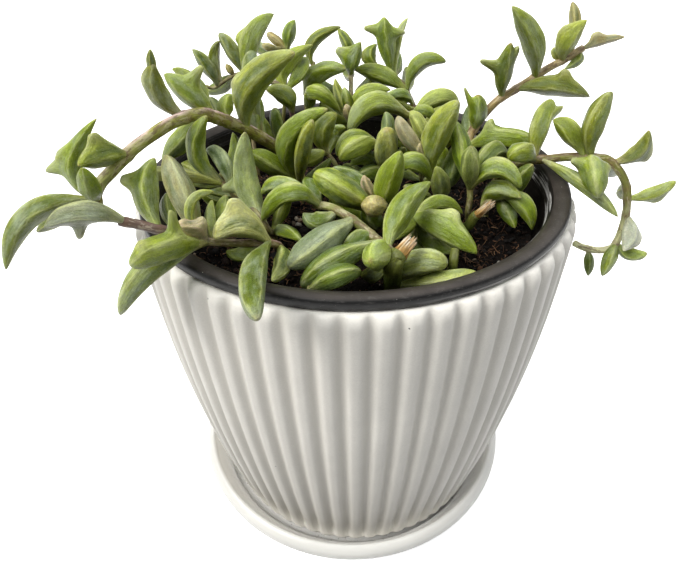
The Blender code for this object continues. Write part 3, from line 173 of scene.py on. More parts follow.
STEMS = (
    Stem(
        "front_left_stem",
        (288, 262),
        ((274, 244, -42), (250, 243, -46), (228, 243, -48), (208, 242, -50), (194, 243, -51)),
        2.8,
        (
            Leaf((268, 243), (253, 277), (258, 320, -84), 6.4),
            Leaf((206, 243), (152, 266), (120, 315, -70), 6.2),
            Leaf((197, 243), (164, 248), (131, 266, -62), 6.2, ((171, 210), (139, 243))),
            Leaf((270, 243), (240, 224), (214, 239, -52), 7.5, ((234, 198),)),
            Leaf((205, 242), (190, 229), (177, 226, -56), 4.4, ((205, 219),)),
            Leaf((195, 243), (181, 190), (165, 155, -36), 6.6),
            Leaf((198, 243), (190, 205), (214, 192, -46), 2.8),
            Leaf((262, 243), (243, 254), (226, 251, -48), 4.8),
            Leaf((277, 246), (284, 262), (272, 281, -58), 5.5),
            Leaf((214, 243), (210, 222), (212, 200, -40), 3.2),
            Leaf((224, 243), (222, 215), (226, 195, -36), 4.0),
        ),
    ),
    Stem(
        "front_branch_stem",
        (392, 292),
        (
            (394, 264, -57), (390, 253, -54), (383, 246, -50), (371, 235, -44),
            (357, 223, -38), (345, 215, -33), (330, 207, -28), (315, 205, -24),
        ),
        3.4,
        (
            Leaf((318, 206), (288, 192), (262, 221, -26), 6.2, ((291, 182),)),
            Leaf((354, 221), (320, 244), (288, 268, -52), 8.0),
            Leaf((386, 249), (377, 255), (370, 261, -66), 7.2),
            Leaf((388, 250), (401, 211), (431, 182, -30), 7.0),
            Leaf((380, 244), (333, 262), (302, 287, -58), 6.8),
            Leaf((398, 282), (420, 262), (447, 266, -54), 7.6),
            Leaf((398, 288), (440, 280), (477, 273, -56), 4.5),
            Leaf((316, 205), (285, 184), (262, 194, -18), 5.0),
            Leaf((338, 211), (318, 221), (303, 213, -30), 6.0),
            Leaf((372, 238), (358, 240), (342, 254, -46), 6.0),
            Leaf((322, 206), (312, 192), (306, 178, -12), 6.0),
        ),
    ),
    Stem(
        "front_short_stem",
        (306, 306),
        ((308, 296, -60), (310, 288, -62)),
        2.2,
        (Leaf((310, 290), (336, 276), (361, 272, -62), 6.2),),
    ),
    Stem(
        "left_low_stem",
        (232, 246),
        (
            (212, 239, -34), (190, 235, -41), (160, 230, -46),
            (140, 225, -47), (119, 221, -48),
        ),
        3.4,
        (
            Leaf((119, 222), (84, 212), (44, 228, -54), 6.2, ((80, 239),)),
            Leaf((161, 232), (146, 193), (155, 158, -30), 6.6, ((120, 179),)),
            Leaf((176, 235), (168, 212), (167, 193, -30), 4.0),
        ),
    ),
    Stem(
        "left_arch_stem",
        (303, 190),
        (
            (292, 166, 26), (281, 151, 21), (262, 138, 15), (243, 128, 9), (220, 119, 1),
            (200, 114, -6), (180, 119, -13), (164, 127, -18), (146, 139, -24),
            (132, 150, -29), (117, 166, -34), (101, 183, -38), (96, 195, -40), (97, 206, -41),
        ),
        4.2,
        (
            Leaf((88, 203), (31, 214), (5, 270, -56), 5.8),
            Leaf((92, 207), (62, 216), (37, 232, -42), 4.2),
            Leaf((93, 204), (73, 166), (97, 118, -34), 4.8, ((45, 169), (55, 156))),
            Leaf((97, 207), (90, 188), (82, 168, -48), 5.2),
            Leaf((127, 156), (102, 155), (78, 166, -46), 6.2, ((92, 133),)),
            Leaf((184, 115), (158, 93), (153, 63, -14), 6.2, ((141, 78), (150, 49))),
            Leaf((217, 117), (190, 94), (164, 74, 0), 7.0, ((202, 66),)),
            Leaf((246, 129), (251, 84), (295, 53, 4), 9.0, ((232, 80),)),
            Leaf((202, 118), (182, 140), (162, 160, -4), 6.5),
            Leaf((210, 115), (196, 85), (172, 69, 14), 5.0),
            Leaf((226, 121), (225, 107), (232, 95, 14), 5.0),
            Leaf((222, 119), (214, 107), (210, 97, 18), 4.5),
            Leaf((257, 135), (256, 115), (260, 98, 22), 5.5),
            Leaf((262, 138), (250, 75), (256, 54, 26), 6.0),
            Leaf((283, 152), (277, 125), (275, 108, 20), 5.0),
        ),
    ),
    Stem(
        "left_middle_stem",
        (274, 240),
        ((266, 228, -26), (250, 205, -20), (232, 190, -15), (218, 182, -13)),
        2.6,
        (
            Leaf((266, 228), (247, 184), (245, 132, -26), 7.2, ((222, 189), (257, 181))),
            Leaf((219, 182), (196, 152), (207, 116, -12), 6.0, ((188, 155),)),
            Leaf((232, 190), (222, 160), (207, 150, -6), 5.5),
            Leaf((222, 184), (205, 184), (189, 181, -16), 3.6),
            Leaf((222, 185), (172, 174), (136, 178, -36), 4.8),
            Leaf((220, 183), (203, 172), (181, 163, -6), 6.0),
            Leaf((272, 236), (285, 231), (302, 241, -34), 4.5),
        ),
    ),
    Stem(
        "centre_left_stem",
        (301, 204),
        ((299, 186, 9), (298, 172, 7), (302, 156, 5), (306, 146, 5)),
        2.6,
        (
            Leaf((299, 187), (288, 140), (328, 109, -2), 7.4),
            Leaf((300, 188), (303, 150), (313, 120, -6), 5.6),
            Leaf((298, 178), (270, 163), (250, 152, 2), 6.6),
            Leaf((301, 166), (312, 158), (325, 151, 6), 5.5),
            Leaf((298, 184), (315, 176), (331, 158, 12), 4.5),
        ),
    ),
    Stem(
        "middle_stem",
        (345, 196),
        ((341, 178, 14), (334, 162, 16), (324, 151, 18)),
        2.2,
        (
            Leaf((326, 152), (322, 131), (337, 114, 18), 7.5),
            Leaf((330, 155), (334, 135), (345, 128, 22), 6.0),
            Leaf((341, 180), (352, 172), (372, 190, 2), 6.0),
            Leaf((342, 186), (330, 188), (317, 181, -2), 5.0),
        ),
    ),
    Stem(
        "centre_back_stem",
        (389, 190),
        ((386, 172, 6), (382, 154, 10), (378, 140, 12)),
        2.4,
        (
            Leaf((387, 174), (386, 150), (387, 129, -2), 8.0),
            Leaf((378, 140), (352, 136), (337, 156, 4), 4.4),
            Leaf((379, 143), (355, 146), (341, 161, 0), 7.0),
            Leaf((384, 156), (388, 130), (385, 112, 14), 4.5),
            Leaf((386, 172), (368, 158), (350, 166, 6), 5.5),
            Leaf((387, 176), (372, 172), (352, 182, 0), 5.5),
            Leaf((387, 176), (398, 164), (404, 148, 2), 5.0),
        ),
    ),
    Stem(
        "centre_front_stem",
        (382, 228),
        ((380, 214, -14), (379, 200, -16)),
        2.6,
        (
            Leaf((384, 210), (388, 182), (401, 151, -22), 7.6),
            Leaf((379, 208), (374, 206), (371, 204, -32), 7.0),
            Leaf((378, 200), (368, 188), (364, 175, -14), 3.6),
            Leaf((376, 214), (340, 188), (316, 175, -20), 8.0),
            Leaf((381, 226), (372, 219), (366, 208, -18), 6.0),
            Leaf((378, 206), (358, 182), (332, 168, -8), 6.0),
            Leaf((381, 222), (352, 216), (330, 198, -14), 6.5),
        ),
    ),
    Stem(
        "right_front_stem",
        (424, 238),
        ((416, 222, -28), (412, 212, -26)),
        2.6,
        (
            Leaf((412, 214), (443, 226), (477, 254, -44), 8.2, ((456, 210),)),
            Leaf((416, 222), (432, 240), (456, 252, -40), 6.0),
            Leaf((416, 224), (404, 226), (396, 240, -38), 6.0),
            Leaf((418, 224), (414, 240), (424, 250, -36), 5.0),
            Leaf((413, 212), (438, 203), (463, 214, -20), 5.0),
        ),
    ),
    Stem(
        "right_middle_stem",
        (440, 214),
        ((438, 200, -4), (433, 180, -4), (430, 165, -3), (426, 150, 0), (423, 138, 3)),
        2.6,
        (
            Leaf((431, 168), (437, 134), (459, 101, -8), 8.2),
            Leaf((440, 203), (441, 186), (436, 167, -16), 5.8),
            Leaf((428, 158), (408, 137), (398, 116, -2), 4.8),
            Leaf((428, 158), (422, 152), (420, 143, -6), 2.8),
            Leaf((424, 142), (420, 126), (410, 111, 6), 4.6),
            Leaf((433, 182), (414, 161), (402, 170, -8), 6.5),
            Leaf((437, 196), (452, 170), (452, 147, 0), 6.5),
            Leaf((440, 206), (420, 196), (404, 186, -4), 5.5),
        ),
    ),
    Stem(
        "right_inner_stem",
        (468, 226),
        ((468, 210, -12), (470, 198, -12), (470, 184, -12)),
        2.6,
        (
            Leaf((470, 188), (470, 166), (471, 146, -16), 6.2),
            Leaf((470, 190), (462, 150), (456, 121, -4), 5.8),
            Leaf((470, 188), (497, 168), (521, 188, -20), 6.0, ((500, 157),)),
            Leaf((470, 186), (490, 152), (509, 161, 0), 5.8),
        ),
    ),
    Stem(
        "right_low_stem",
        (485, 218),
        ((483, 206, -14), (494, 197, -15), (504, 194, -15)),
        2.2,
        (
            Leaf((484, 206), (497, 190), (521, 198, -22), 6.0),
            Leaf((504, 194), (523, 204), (532, 230, -22), 5.6),
            Leaf((497, 196), (506, 208), (515, 228, -20), 5.0),
        ),
    ),
    Stem(
        "right_upper_spray",
        (462, 168),
        (
            (466, 148, 30), (471, 134, 32), (484, 115, 34), (497, 101, 35), (511, 92, 36),
            (530, 80, 38), (547, 69, 40), (562, 61, 42), (574, 54, 43), (583, 48, 44),
        ),
        3.6,
        (
            Leaf((533, 79), (533, 42), (512, 6, 30), 7.4, ((545, 46),)),
            Leaf((500, 99), (504, 72), (511, 43, 30), 5.8, ((480, 61), (519, 48))),
            Leaf((473, 131), (478, 113), (478, 95, 30), 6.4, ((464, 88),)),
            Leaf((519, 92), (554, 86), (590, 97, 34), 6.8, ((566, 69),)),
            Leaf((466, 146), (503, 137), (541, 146, 14), 7.2, ((490, 119),)),
            Leaf((562, 61), (568, 40), (587, 20, 38), 7.0, ((560, 29),)),
            Leaf((572, 55), (575, 25), (572, 2, 50), 4.0),
            Leaf((560, 62), (556, 54), (554, 47, 44), 3.2),
            Leaf((583, 48), (602, 41), (625, 37, 46), 3.0, ((595, 32),)),
            Leaf((583, 48), (578, 60), (564, 69, 40), 3.4),
        ),
    ),
    Stem(
        "right_lower_spray",
        (493, 190),
        (
            (502, 176, 1), (514, 165, 1), (534, 160, 1), (548, 159, 0), (568, 157, -2),
            (585, 157, -4), (607, 159, -6), (616, 167, -8), (624, 179, -9), (627, 192, -10),
            (627, 205, -11), (625, 219, -12), (621, 231, -13), (616, 243, -14),
            (609, 249, -14), (594, 250, -12), (582, 247, -10), (574, 243, -9),
        ),
        3.2,
        (
            Leaf((583, 157), (570, 132), (553, 120, 2), 6.4),
            Leaf((593, 157), (594, 122), (612, 92, 0), 6.4),
            Leaf((534, 159), (540, 125), (552, 100, 12), 6.6, ((563, 108),)),
            Leaf((544, 160), (583, 184), (618, 217, -10), 5.4),
            Leaf((592, 157), (594, 172), (598, 198, -28), 6.6, ((571, 160), (611, 167))),
            Leaf((534, 160), (522, 152), (509, 160, -8), 6.6),
            Leaf((611, 161), (637, 152), (649, 130, -8), 5.0, ((650, 158),)),
            Leaf((627, 196), (654, 193), (677, 181, -14), 4.4, ((659, 202),)),
            Leaf((627, 217), (630, 234), (623, 251, -20), 5.2, ((641, 241),)),
            Leaf((618, 243), (630, 254), (647, 253, -18), 4.6),
            Leaf((617, 244), (610, 258), (602, 276, -22), 4.2),
            Leaf((590, 249), (589, 262), (588, 276, -16), 3.2),
        ),
    ),
    Stem(
        "back_left_stem",
        (258, 174),
        (
            (252, 130, 40), (250, 100, 44), (246, 76, 46), (238, 74, 46),
            (226, 80, 45), (214, 88, 43), (206, 86, 42),
        ),
        1.8,
        (
            Leaf((216, 86), (207, 66), (192, 49, 44), 5.0),
            Leaf((221, 83), (214, 60), (219, 41, 48), 4.6),
            Leaf((245, 77), (233, 52), (219, 33, 50), 5.6),
            Leaf((248, 84), (251, 40), (274, 14, 54), 7.6, ((236, 36),)),
            Leaf((234, 76), (230, 70), (226, 64, 46), 2.6),
        ),
    ),
    Stem(
        "back_left_upper_stem",
        (280, 160),
        ((284, 110, 50), (286, 70, 60), (288, 50, 64), (272, 48, 64)),
        1.8,
        (
            Leaf((287, 48), (276, 40), (267, 33, 68), 3.4),
            Leaf((288, 50), (289, 34), (295, 20, 66), 5.0),
            Leaf((273, 48), (268, 47), (262, 45, 62), 3.2),
        ),
    ),
    Stem(
        "back_purple_stem",
        (296, 160),
        ((292, 112, 34), (286, 90, 38), (276, 83, 38), (266, 82, 38)),
        2.4,
        (
            Leaf((286, 90), (284, 66), (313, 45, 46), 6.4),
            Leaf((292, 110), (285, 95), (266, 90, 28), 6.6),
            Leaf((286, 88), (300, 72), (306, 58, 50), 5.5),
        ),
    ),
    Stem(
        "back_middle_stem",
        (312, 156),
        ((307, 115, 44), (306, 92, 50), (311, 70, 56), (314, 62, 58)),
        2.0,
        (
            Leaf((307, 95), (318, 74), (346, 69, 46), 7.0, ((301, 70),)),
            Leaf((313, 66), (313, 42), (341, 27, 64), 4.6),
            Leaf((306, 110), (310, 101), (305, 94, 36), 4.4),
            Leaf((306, 105), (318, 92), (340, 112, 36), 6.0),
        ),
    ),
    Stem(
        "back_centre_stem",
        (356, 158),
        ((352, 120, 44), (351, 95, 50), (351, 74, 56), (350, 54, 60)),
        2.2,
        (
            Leaf((350, 55), (346, 42), (338, 29, 62), 4.0),
            Leaf((351, 76), (352, 60), (361, 42, 52), 6.4, ((336, 49),)),
            Leaf((350, 118), (341, 100), (335, 78, 44), 4.0),
            Leaf((351, 116), (348, 102), (344, 87, 38), 3.8),
            Leaf((353, 124), (349, 115), (346, 104, 32), 3.6),
            Leaf((352, 108), (366, 92), (391, 90, 40), 5.4),
        ),
    ),
    Stem(
        "back_right_stem",
        (428, 158),
        (
            (418, 120, 50), (413, 105, 53), (407, 91, 56), (401, 82, 58),
            (392, 74, 60), (383, 68, 61), (374, 66, 62),
        ),
        2.2,
        (
            Leaf((408, 90), (420, 63), (446, 62, 56), 6.0),
            Leaf((393, 74), (386, 42), (384, 17, 60), 6.4, ((364, 28), (405, 32))),
            Leaf((396, 78), (398, 40), (408, 18, 68), 3.4),
            Leaf((405, 92), (380, 74), (354, 70, 56), 6.8),
            Leaf((413, 104), (401, 94), (383, 99, 44), 4.2),
            Leaf((375, 66), (370, 56), (377, 44, 66), 4.6, ((361, 57),)),
        ),
    ),
    Stem(
        "right_back_stem",
        (416, 160),
        ((412, 128, 34), (408, 112, 36)),
        2.4,
        (
            Leaf((406, 112), (372, 104), (349, 135, 22), 8.2),
            Leaf((412, 120), (436, 98), (459, 103, 36), 6.4),
            Leaf((411, 124), (424, 110), (438, 124, 28), 4.6),
        ),
    ),
    Stem("front_right_stub", (451, 278), ((453, 266, -51), (455, 250, -48)), 3.4, ()),
)


# The eye.


def eye_axes():
    """The eye's place and its right, up and forward directions."""
    cos_turn, sin_turn = math.cos(EYE_TURN), math.sin(EYE_TURN)
    cos_down, sin_down = math.cos(EYE_DOWN), math.sin(EYE_DOWN)
    cos_roll, sin_roll = math.cos(EYE_ROLL), math.sin(EYE_ROLL)
    forward = np.array((sin_turn * cos_down, cos_turn * cos_down, -sin_down))
    level = np.array((cos_turn, -sin_turn, 0.0))
    upright = np.cross(level, forward)
    right = cos_roll * level + sin_roll * upright
    up = cos_roll * upright - sin_roll * level
    return np.array((0.0, -EYE_BEFORE, EYE_HIGH)), right, up, forward


EYE, EYE_RIGHT, EYE_UP, EYE_FORWARD = eye_axes()


def sight_line(across, down):
    along = EYE_RIGHT * (across - PICTURE_MIDDLE[0]) - EYE_UP * (down - PICTURE_MIDDLE[1])
    return along + EYE_FORWARD * EYE_FOCUS


def seen(across, down, behind):
    """The point that shows at this place of the picture and lies this far behind the pot's axis."""
    line = sight_line(across, down)
    return EYE + line * (behind - EYE[1]) / line[1]


def seen_on_soil(across, down):
    line = sight_line(across, down)
    return EYE + line * (SOIL_TOP - EYE[2]) / line[2]


def in_picture(points):
    """Where points show in the picture, as (across, down)."""
    away = np.atleast_2d(points) - EYE
    depth = away @ EYE_FORWARD
    across = PICTURE_MIDDLE[0] + EYE_FOCUS * (away @ EYE_RIGHT) / depth
    down = PICTURE_MIDDLE[1] - EYE_FOCUS * (away @ EYE_UP) / depth
    return np.stack((across, down), 1)


# Where stems and leaves go.


def unit(vector):
    return vector / max(np.linalg.norm(vector), 1e-9)


def smooth_route(points, step=2.0):
    """Points about a step apart on a smooth curve through the given ones."""
    points = np.array(points)
    before = np.vstack((2 * points[0] - points[1], points, 2 * points[-1] - points[-2]))
    found = []
    for a, b, c, d in zip(before, before[1:], before[2:], before[3:]):
        pieces = max(1, round(np.linalg.norm(c - b) / step))
        for share in np.arange(pieces) / pieces:
            found.append(
                0.5 * (2 * b + (c - a) * share + (2 * a - 5 * b + 4 * c - d) * share**2
                       + (3 * b - a - 3 * c + d) * share**3)
            )
    found.append(points[-1])
    return np.array(found)


def leaf_fullness(share):
    """How full a leaf is at this share of its length: a narrow stalk at the base, a pointed tip."""
    up = np.clip(share / LEAF_FULLEST, 0, 1)
    rising = LEAF_BASE_SHARE + (1 - LEAF_BASE_SHARE) * (up * up * (3 - 2 * up)) ** 0.8
    falling = (1 - np.clip((share - LEAF_FULLEST) / (1 - LEAF_FULLEST), 0, 1) ** 2.2) ** 0.9
    return np.where(share < LEAF_FULLEST, rising, falling)


def on_bend(ends, share):
    """The point at this share of a bend given by its start, its middle and its end."""
    start, middle, end = ends
    share = np.asarray(share, float)[..., None]
    control = 2 * middle - (start + end) / 2
    return start * (1 - share) ** 2 + 2 * control * share * (1 - share) + end * share**2


class Trunk(NamedTuple):
    """A stem in its place, with the leaves that grow from it."""

    name: str
    thick: float
    route: np.ndarray
    leaves: list


class Placed(NamedTuple):
    """A leaf in its place: its stem, the three points of its bend, its width and its fins."""

    stem: int
    ends: tuple
    wide: float
    fins: tuple


LEAF_CHECKS = np.linspace(0.1, 0.98, 12)


def leaf_balls(leaf):
    """Balls that fill a leaf and its fins: their middles, radii and shares of its length."""
    places = [on_bend(leaf.ends, LEAF_CHECKS)]
    radii = [leaf.wide / 2 * leaf_fullness(LEAF_CHECKS)]
    shares = [LEAF_CHECKS]
    for share, point in leaf.fins:
        root = on_bend(leaf.ends, share)
        out = np.array((0.35, 0.6, 0.8, 1.0))
        places.append(root + (point - root) * out[:, None])
        radii.append(leaf.wide / 2 * (1 - out) * 0.8 + 0.4)
        shares.append(np.full(len(out), share))
    return np.vstack(places), np.concatenate(radii), np.concatenate(shares)


def clear_of_pots(places, radii):
    """Whether balls keep off the soil, the rim and the walls under it."""
    away = np.hypot(places[:, 0], places[:, 1])
    low = places[:, 2] - radii
    over_rim = low > RIM_TOP + CLEAR_OF_OTHERS
    inside = (away + radii < NURSERY_TOP_RADIUS - NURSERY_WALL - 1.2) & (low > SOIL_TOP + SOIL_UNEVEN)
    outside = away - radii > COVER_TOP_RADIUS + CLEAR_OF_OTHERS
    return bool((over_rim | inside | outside).all())


class Thicket:
    """All balls placed so far, with the stem and the share of the leaf that each belongs to."""

    def __init__(self):
        self.places = np.empty((0, 3))
        self.radii = np.empty(0)
        self.stems = np.empty(0, int)
        self.shares = np.empty(0)

    def add(self, stem, places, radii, shares):
        self.places = np.vstack((self.places, places))
        self.radii = np.concatenate((self.radii, radii))
        self.stems = np.concatenate((self.stems, np.full(len(radii), stem)))
        self.shares = np.concatenate((self.shares, shares))

    def has_room(self, stem, places, radii, shares):
        near = np.abs(self.places - places.mean(0)).max(1) < 40
        apart = np.linalg.norm(places[:, None] - self.places[near], axis=2)
        apart = apart - radii[:, None] - self.radii[near]
        sisters = self.stems[near] == stem
        if (apart[:, ~sisters] < CLEAR_OF_OTHERS).any():
            return False
        outer = (shares[:, None] > 0.4) & (self.shares[near] > 0.4)[None] & sisters[None]
        return not (outer & (apart < CLEAR_OF_SISTERS)).any()


DEPTH_TRIES = (0, -3, 3, -6, 6, -9, 9, -12, 12, -15, 15, -18, 18)
MIDDLE_TRIES = (0, -3, 3, -6, 6)


def place_leaf(number, leaf, route, thicket):
    """The leaf where it shows in the picture, nearer or farther if it would touch another.

    It starts inside the stem, and so never at the stem's very end.
    """
    shown = in_picture(route[:-1])
    at = np.linalg.norm(shown - np.array(leaf.base), axis=1).argmin()
    base = route[at]
    for slimmer in (1.15, 1.0, 0.85, 0.7):
        for depth in DEPTH_TRIES:
            tip = seen(leaf.tip[0], leaf.tip[1], leaf.tip[2] + depth)
            for more in MIDDLE_TRIES:
                behind = (base[1] + tip[1]) / 2 + more
                ends = (base, seen(*leaf.middle, behind), tip)
                line = on_bend(ends, np.linspace(0, 1, 21))
                flat = in_picture(line)
                fins = []
                for fin in leaf.fins:
                    share = np.linalg.norm(flat - np.array(fin), axis=1)[7:16].argmin() + 7
                    fins.append((share / 20, seen(*fin, line[share][1])))
                placed = Placed(number, ends, leaf.wide * slimmer, tuple(fins))
                balls = leaf_balls(placed)
                above = balls[2] > 0.2
                if clear_of_pots(balls[0][above], balls[1][above]) and thicket.has_room(number, *balls):
                    thicket.add(number, *balls)
                    return placed
    return None


def stem_route(stem):
    """The stem's way above the soil, straight up at first from the place where it stands."""
    root = seen_on_soil(*stem.root)
    return smooth_route([root, root + (0, 0, STRAIGHT_FOOT), *(seen(*place) for place in stem.route)])


def stub_route(stub):
    """The green part of a cut stub, whose end faces along the dry tip."""
    root = seen_on_soil(*stub.root)
    end, dry_tip = seen(*stub.end), seen(*stub.dry_tip)
    last = end - unit(dry_tip - end) * 1.5
    return np.array([root, root + (0, 0, STRAIGHT_FOOT), seen(*stub.bend), last, end])


class View:
    """What the leaves laid out one by one look like in the picture, which nothing else may change."""

    def __init__(self, thicket):
        self.flat = in_picture(thicket.places)
        self.depth = (thicket.places - EYE) @ EYE_FORWARD
        self.wide = thicket.radii * EYE_FOCUS / self.depth

    def is_kept_by(self, places, radii):
        """Whether balls hide no such leaf, spare the bare soil and leave the outline as it is."""
        flat = in_picture(places)
        depth = (places - EYE) @ EYE_FORWARD
        wide = radii * EYE_FOCUS / depth
        apart = np.linalg.norm(flat[:, None] - self.flat, axis=2)
        nearer = depth[:, None] < self.depth
        if (nearer & (apart < 0.8 * (wide[:, None] + self.wide))).any():
            return False
        for across, down, radius in BARE_SOIL:
            if (np.hypot(flat[:, 0] - across, flat[:, 1] - down) < radius + wide).any():
                return False
        among = (apart < self.wide + 2).any(1)
        through = EYE + (places - EYE) * ((RIM_TOP - EYE[2]) / (places[:, 2] - EYE[2]))[:, None]
        in_rim = np.hypot(through[:, 0], through[:, 1]) + radii < RIM_INNER
        return bool((among | in_rim).all())

    def shows(self, places):
        """How much of a row of balls shows between what stands before it."""
        flat = in_picture(places)
        depth = (places - EYE) @ EYE_FORWARD
        apart = np.linalg.norm(flat[:, None] - self.flat, axis=2)
        hidden = ((apart < self.wide) & (self.depth < depth[:, None])).any(1)
        return 1 - hidden.mean()

    def add(self, places, radii):
        self.flat = np.vstack((self.flat, in_picture(places)))
        depth = (places - EYE) @ EYE_FORWARD
        self.depth = np.concatenate((self.depth, depth))
        self.wide = np.concatenate((self.wide, radii * EYE_FOCUS / depth * 0.8))


def shoot_routes(chance, thicket, view):
    """Short leaning shoots, spread evenly over the soil wherever there is room for one."""
    routes = []
    for step in range(SHOOT_PLACES):
        away = 62.0 * math.sqrt((step + 0.5) / SHOOT_PLACES)
        angle = step * TURN_PER_LEAF
        root = np.array((away * math.cos(angle), away * math.sin(angle), SOIL_TOP))
        high = chance.uniform(*SHOOT_HIGH)
        lean = chance.uniform(0, 0.7)
        turn = chance.uniform(0, math.tau)
        way = high * np.array((lean * math.cos(turn), lean * math.sin(turn), 1))
        route = smooth_route([root, root + (0, 0, STRAIGHT_FOOT), root + way * 0.6, root + way])
        radii = np.full(len(route), SHOOT_THICK / 2 + 0.3)
        number = len(STEMS) + len(routes)
        if not clear_of_pots(route[2:], radii[2:]) or not view.is_kept_by(route, radii):
            continue
        if len(routes) < MOST_SHOOTS and thicket.has_room(number, route, radii, radii * 0):
            thicket.add(number, route, radii - 0.3, radii * 0)
            routes.append(route)
    return routes


def filling_leaf(number, route, at, turn, smaller, chance):
    """A leaf that stands out from a shoot at this point, turned this far round it."""
    forward = unit(route[min(at + 1, len(route) - 1)] - route[max(at - 1, 0)])
    level = unit(np.cross(forward, ASKEW))
    outward = math.cos(turn) * level + math.sin(turn) * np.cross(forward, level)
    long = chance.uniform(*FILLING_LEAF_LONG) * smaller
    spread = math.radians(chance.uniform(35, 75))
    way = math.cos(spread) * forward + math.sin(spread) * outward + (0, 0, 0.25)
    tip = route[at] + unit(way) * long
    bulge = unit(outward - 0.6 * forward) * long * chance.uniform(0.06, 0.16)
    middle = (route[at] + tip) / 2 + bulge
    wide = long * chance.uniform(0.25, 0.31)
    fins = ()
    if chance.random() < 0.3:
        fins = ((0.5, middle + unit(bulge) * (wide / 2 + 0.1 * long)),)
    return Placed(number, (route[at], middle, tip), wide, fins)


def fill_leaves(chance, routes, thicket, view):
    """Leaves in a spiral along every stem, the last first, wherever one has room and shows."""
    leaves = []
    shown, back = 0, 0
    for number, route in reversed(list(enumerate(routes))):
        every = round(LEAF_EVERY / 2)
        for step, at in enumerate(range(len(route) - 2, 1, -every)):
            for more in range(10):
                turn = step * TURN_PER_LEAF + more * 1.3
                leaf = filling_leaf(number, route, at, turn, 1 - 0.03 * more, chance)
                places, radii, shares = leaf_balls(leaf)
                outer = shares > 0.2
                if not clear_of_pots(places[outer], radii[outer]):
                    continue
                kept = view.is_kept_by(places, radii)
                if not kept or not thicket.has_room(number, places, radii, shares):
                    continue
                if view.shows(places) > 0.35 and shown < SHOWN_LEAVES:
                    shown += 1
                    view.add(places, radii)
                elif places[:, 1].mean() > 45 and back < BACK_LEAVES:
                    back += 1
                else:
                    continue
                thicket.add(number, places, radii, shares)
                leaves.append(leaf)
                break
    return leaves


def lay_out():
    """Every stem and leaf in its place. A shoot with room for no more than one leaf is left out."""
    chance = np.random.default_rng(8)
    thicket = Thicket()
    routes = [stem_route(stem) for stem in STEMS]
    for number, (stem, route) in enumerate(zip(STEMS, routes)):
        thicket.add(number, route, np.full(len(route), stem.thick / 2), np.zeros(len(route)))
    names = [stem.name for stem in STEMS]
    for stub in STUBS:
        route = smooth_route([*stub_route(stub), seen(*stub.dry_tip)])
        number = names.index(stub.name) if stub.name in names else -1
        thicket.add(number, route, np.full(len(route), stub.thick / 2), np.zeros(len(route)))
    leaves = []
    for number, (stem, route) in enumerate(zip(STEMS, routes)):
        for leaf in stem.leaves:
            placed = place_leaf(number, leaf, route, thicket)
            if placed:
                leaves.append(placed)
    view = View(thicket)
    shoots = shoot_routes(chance, thicket, view)
    leaves += fill_leaves(chance, routes + shoots, thicket, view)
    trunks = []
    for number, route in enumerate(routes + shoots):
        own = [leaf for leaf in leaves if leaf.stem == number]
        if number < len(STEMS):
            trunks.append(Trunk(STEMS[number].name, STEMS[number].thick, route, own))
        elif len(own) > 1:
            name = f"short_shoot_{len(trunks) - len(STEMS) + 1:02d}"
            trunks.append(Trunk(name, SHOOT_THICK, route, own))
    return trunks


def cover_radius(height):
    """The radius over the ribs' crests: the wall leans out and straightens towards the top."""
    share = height / COVER_TOP
    return COVER_FOOT_RADIUS + (COVER_TOP_RADIUS - COVER_FOOT_RADIUS) * (1 - (1 - share) ** 2)


def nursery_radius(height):
    """The nursery pot's outer radius below its rim."""
    share = (height - NURSERY_FOOT) / (COVER_TOP - NURSERY_FOOT)
    return NURSERY_FOOT_RADIUS + (NURSERY_TOP_RADIUS - NURSERY_FOOT_RADIUS) * share


# The box that the plain model fills, in millimetres: the fine one stays in it.
BOX = np.array(cad_box) / MM

# Leaves: rings and points round, how much fuller than the plain ones, how far the keels stand out, how
# lens-like the section is, and where round the section the ridge runs, in radians from the outward side.
LEAF_ROWS = 36
LEAF_AROUND = 30
LEAF_FULL = 1.04
KEEL = 0.15
LENS = 1.15
RIDGE_AT = 1.62
FURROW_OFF = 0.6
# A bend flatter than this many millimetres counts as straight.
STRAIGHT_BEND = 0.3

# Fins: the space between the extra rings beside one, its least and greatest reach, how far the section's
# points crowd towards it, the cosine from which it leans along the leaf, and how wide it is then.
FIN_ROW = 0.38
FIN_SLIM = 1.5
FIN_STOUT = 2.4
FIN_CROWD = 0.35
LEANING = 0.85
HORN_WIDE = 3.0

# Stems, and how far apart in the noise any two leaves or stems lie.
STEM_AROUND = 20
STEM_FULL = 1.1
STEM_STEP = 0.8
STEM_END_SHARE = 0.7
FLESH_SHIFT = 400

# The dried ends of cut shoots.
DRY_ROWS = 12
DRY_AROUND = 16
DRY_FIBRES = 26
DRY_ROOT_TINTS = ["#a8803f", "#946a2c", "#cfb07a"]
DRY_TIP_TINTS = ["#f6e8cf", "#efd6b0", "#e2bd8e"]

# Pots and saucer.
SEGMENTS = 16
SAUCER_AROUND = 180
NURSERY_AROUND = 180
DRAIN_AROUND = 32
FINE_RINGS = (146.4, 145.6, 142.6, 141.7)

# Soil: its mesh, and how many waves, crumbs, fibres and grains it has.
SOIL_AROUND = 170
SOIL_ROWS = 64
SOIL_WAVES = 22
CRUMBS = 5200
FIBRES = 1700
FIBRE_ROWS = 6
GRAINS = 60
CRUMB_TINTS = ("#0c0806", "#120c08", "#1a110b", "#26180f", "#38241a", "#150f0b", "#5a3d28", "#0f0a07")
FIBRE_TINTS = ["#5f4431", "#6e513a", "#48321f", "#80644a", "#523a29", "#38271b"]
GRAIN_TINTS = ("#d2cbbc", "#bdb09a", "#a8947a")
# White grains that show in the picture.
SEEN_GRAINS = (
    (297, 219), (301, 222), (305, 225), (299, 227), (308, 221), (294, 224),
    (319, 205), (425, 276), (517, 261), (513, 264), (287, 226),
)

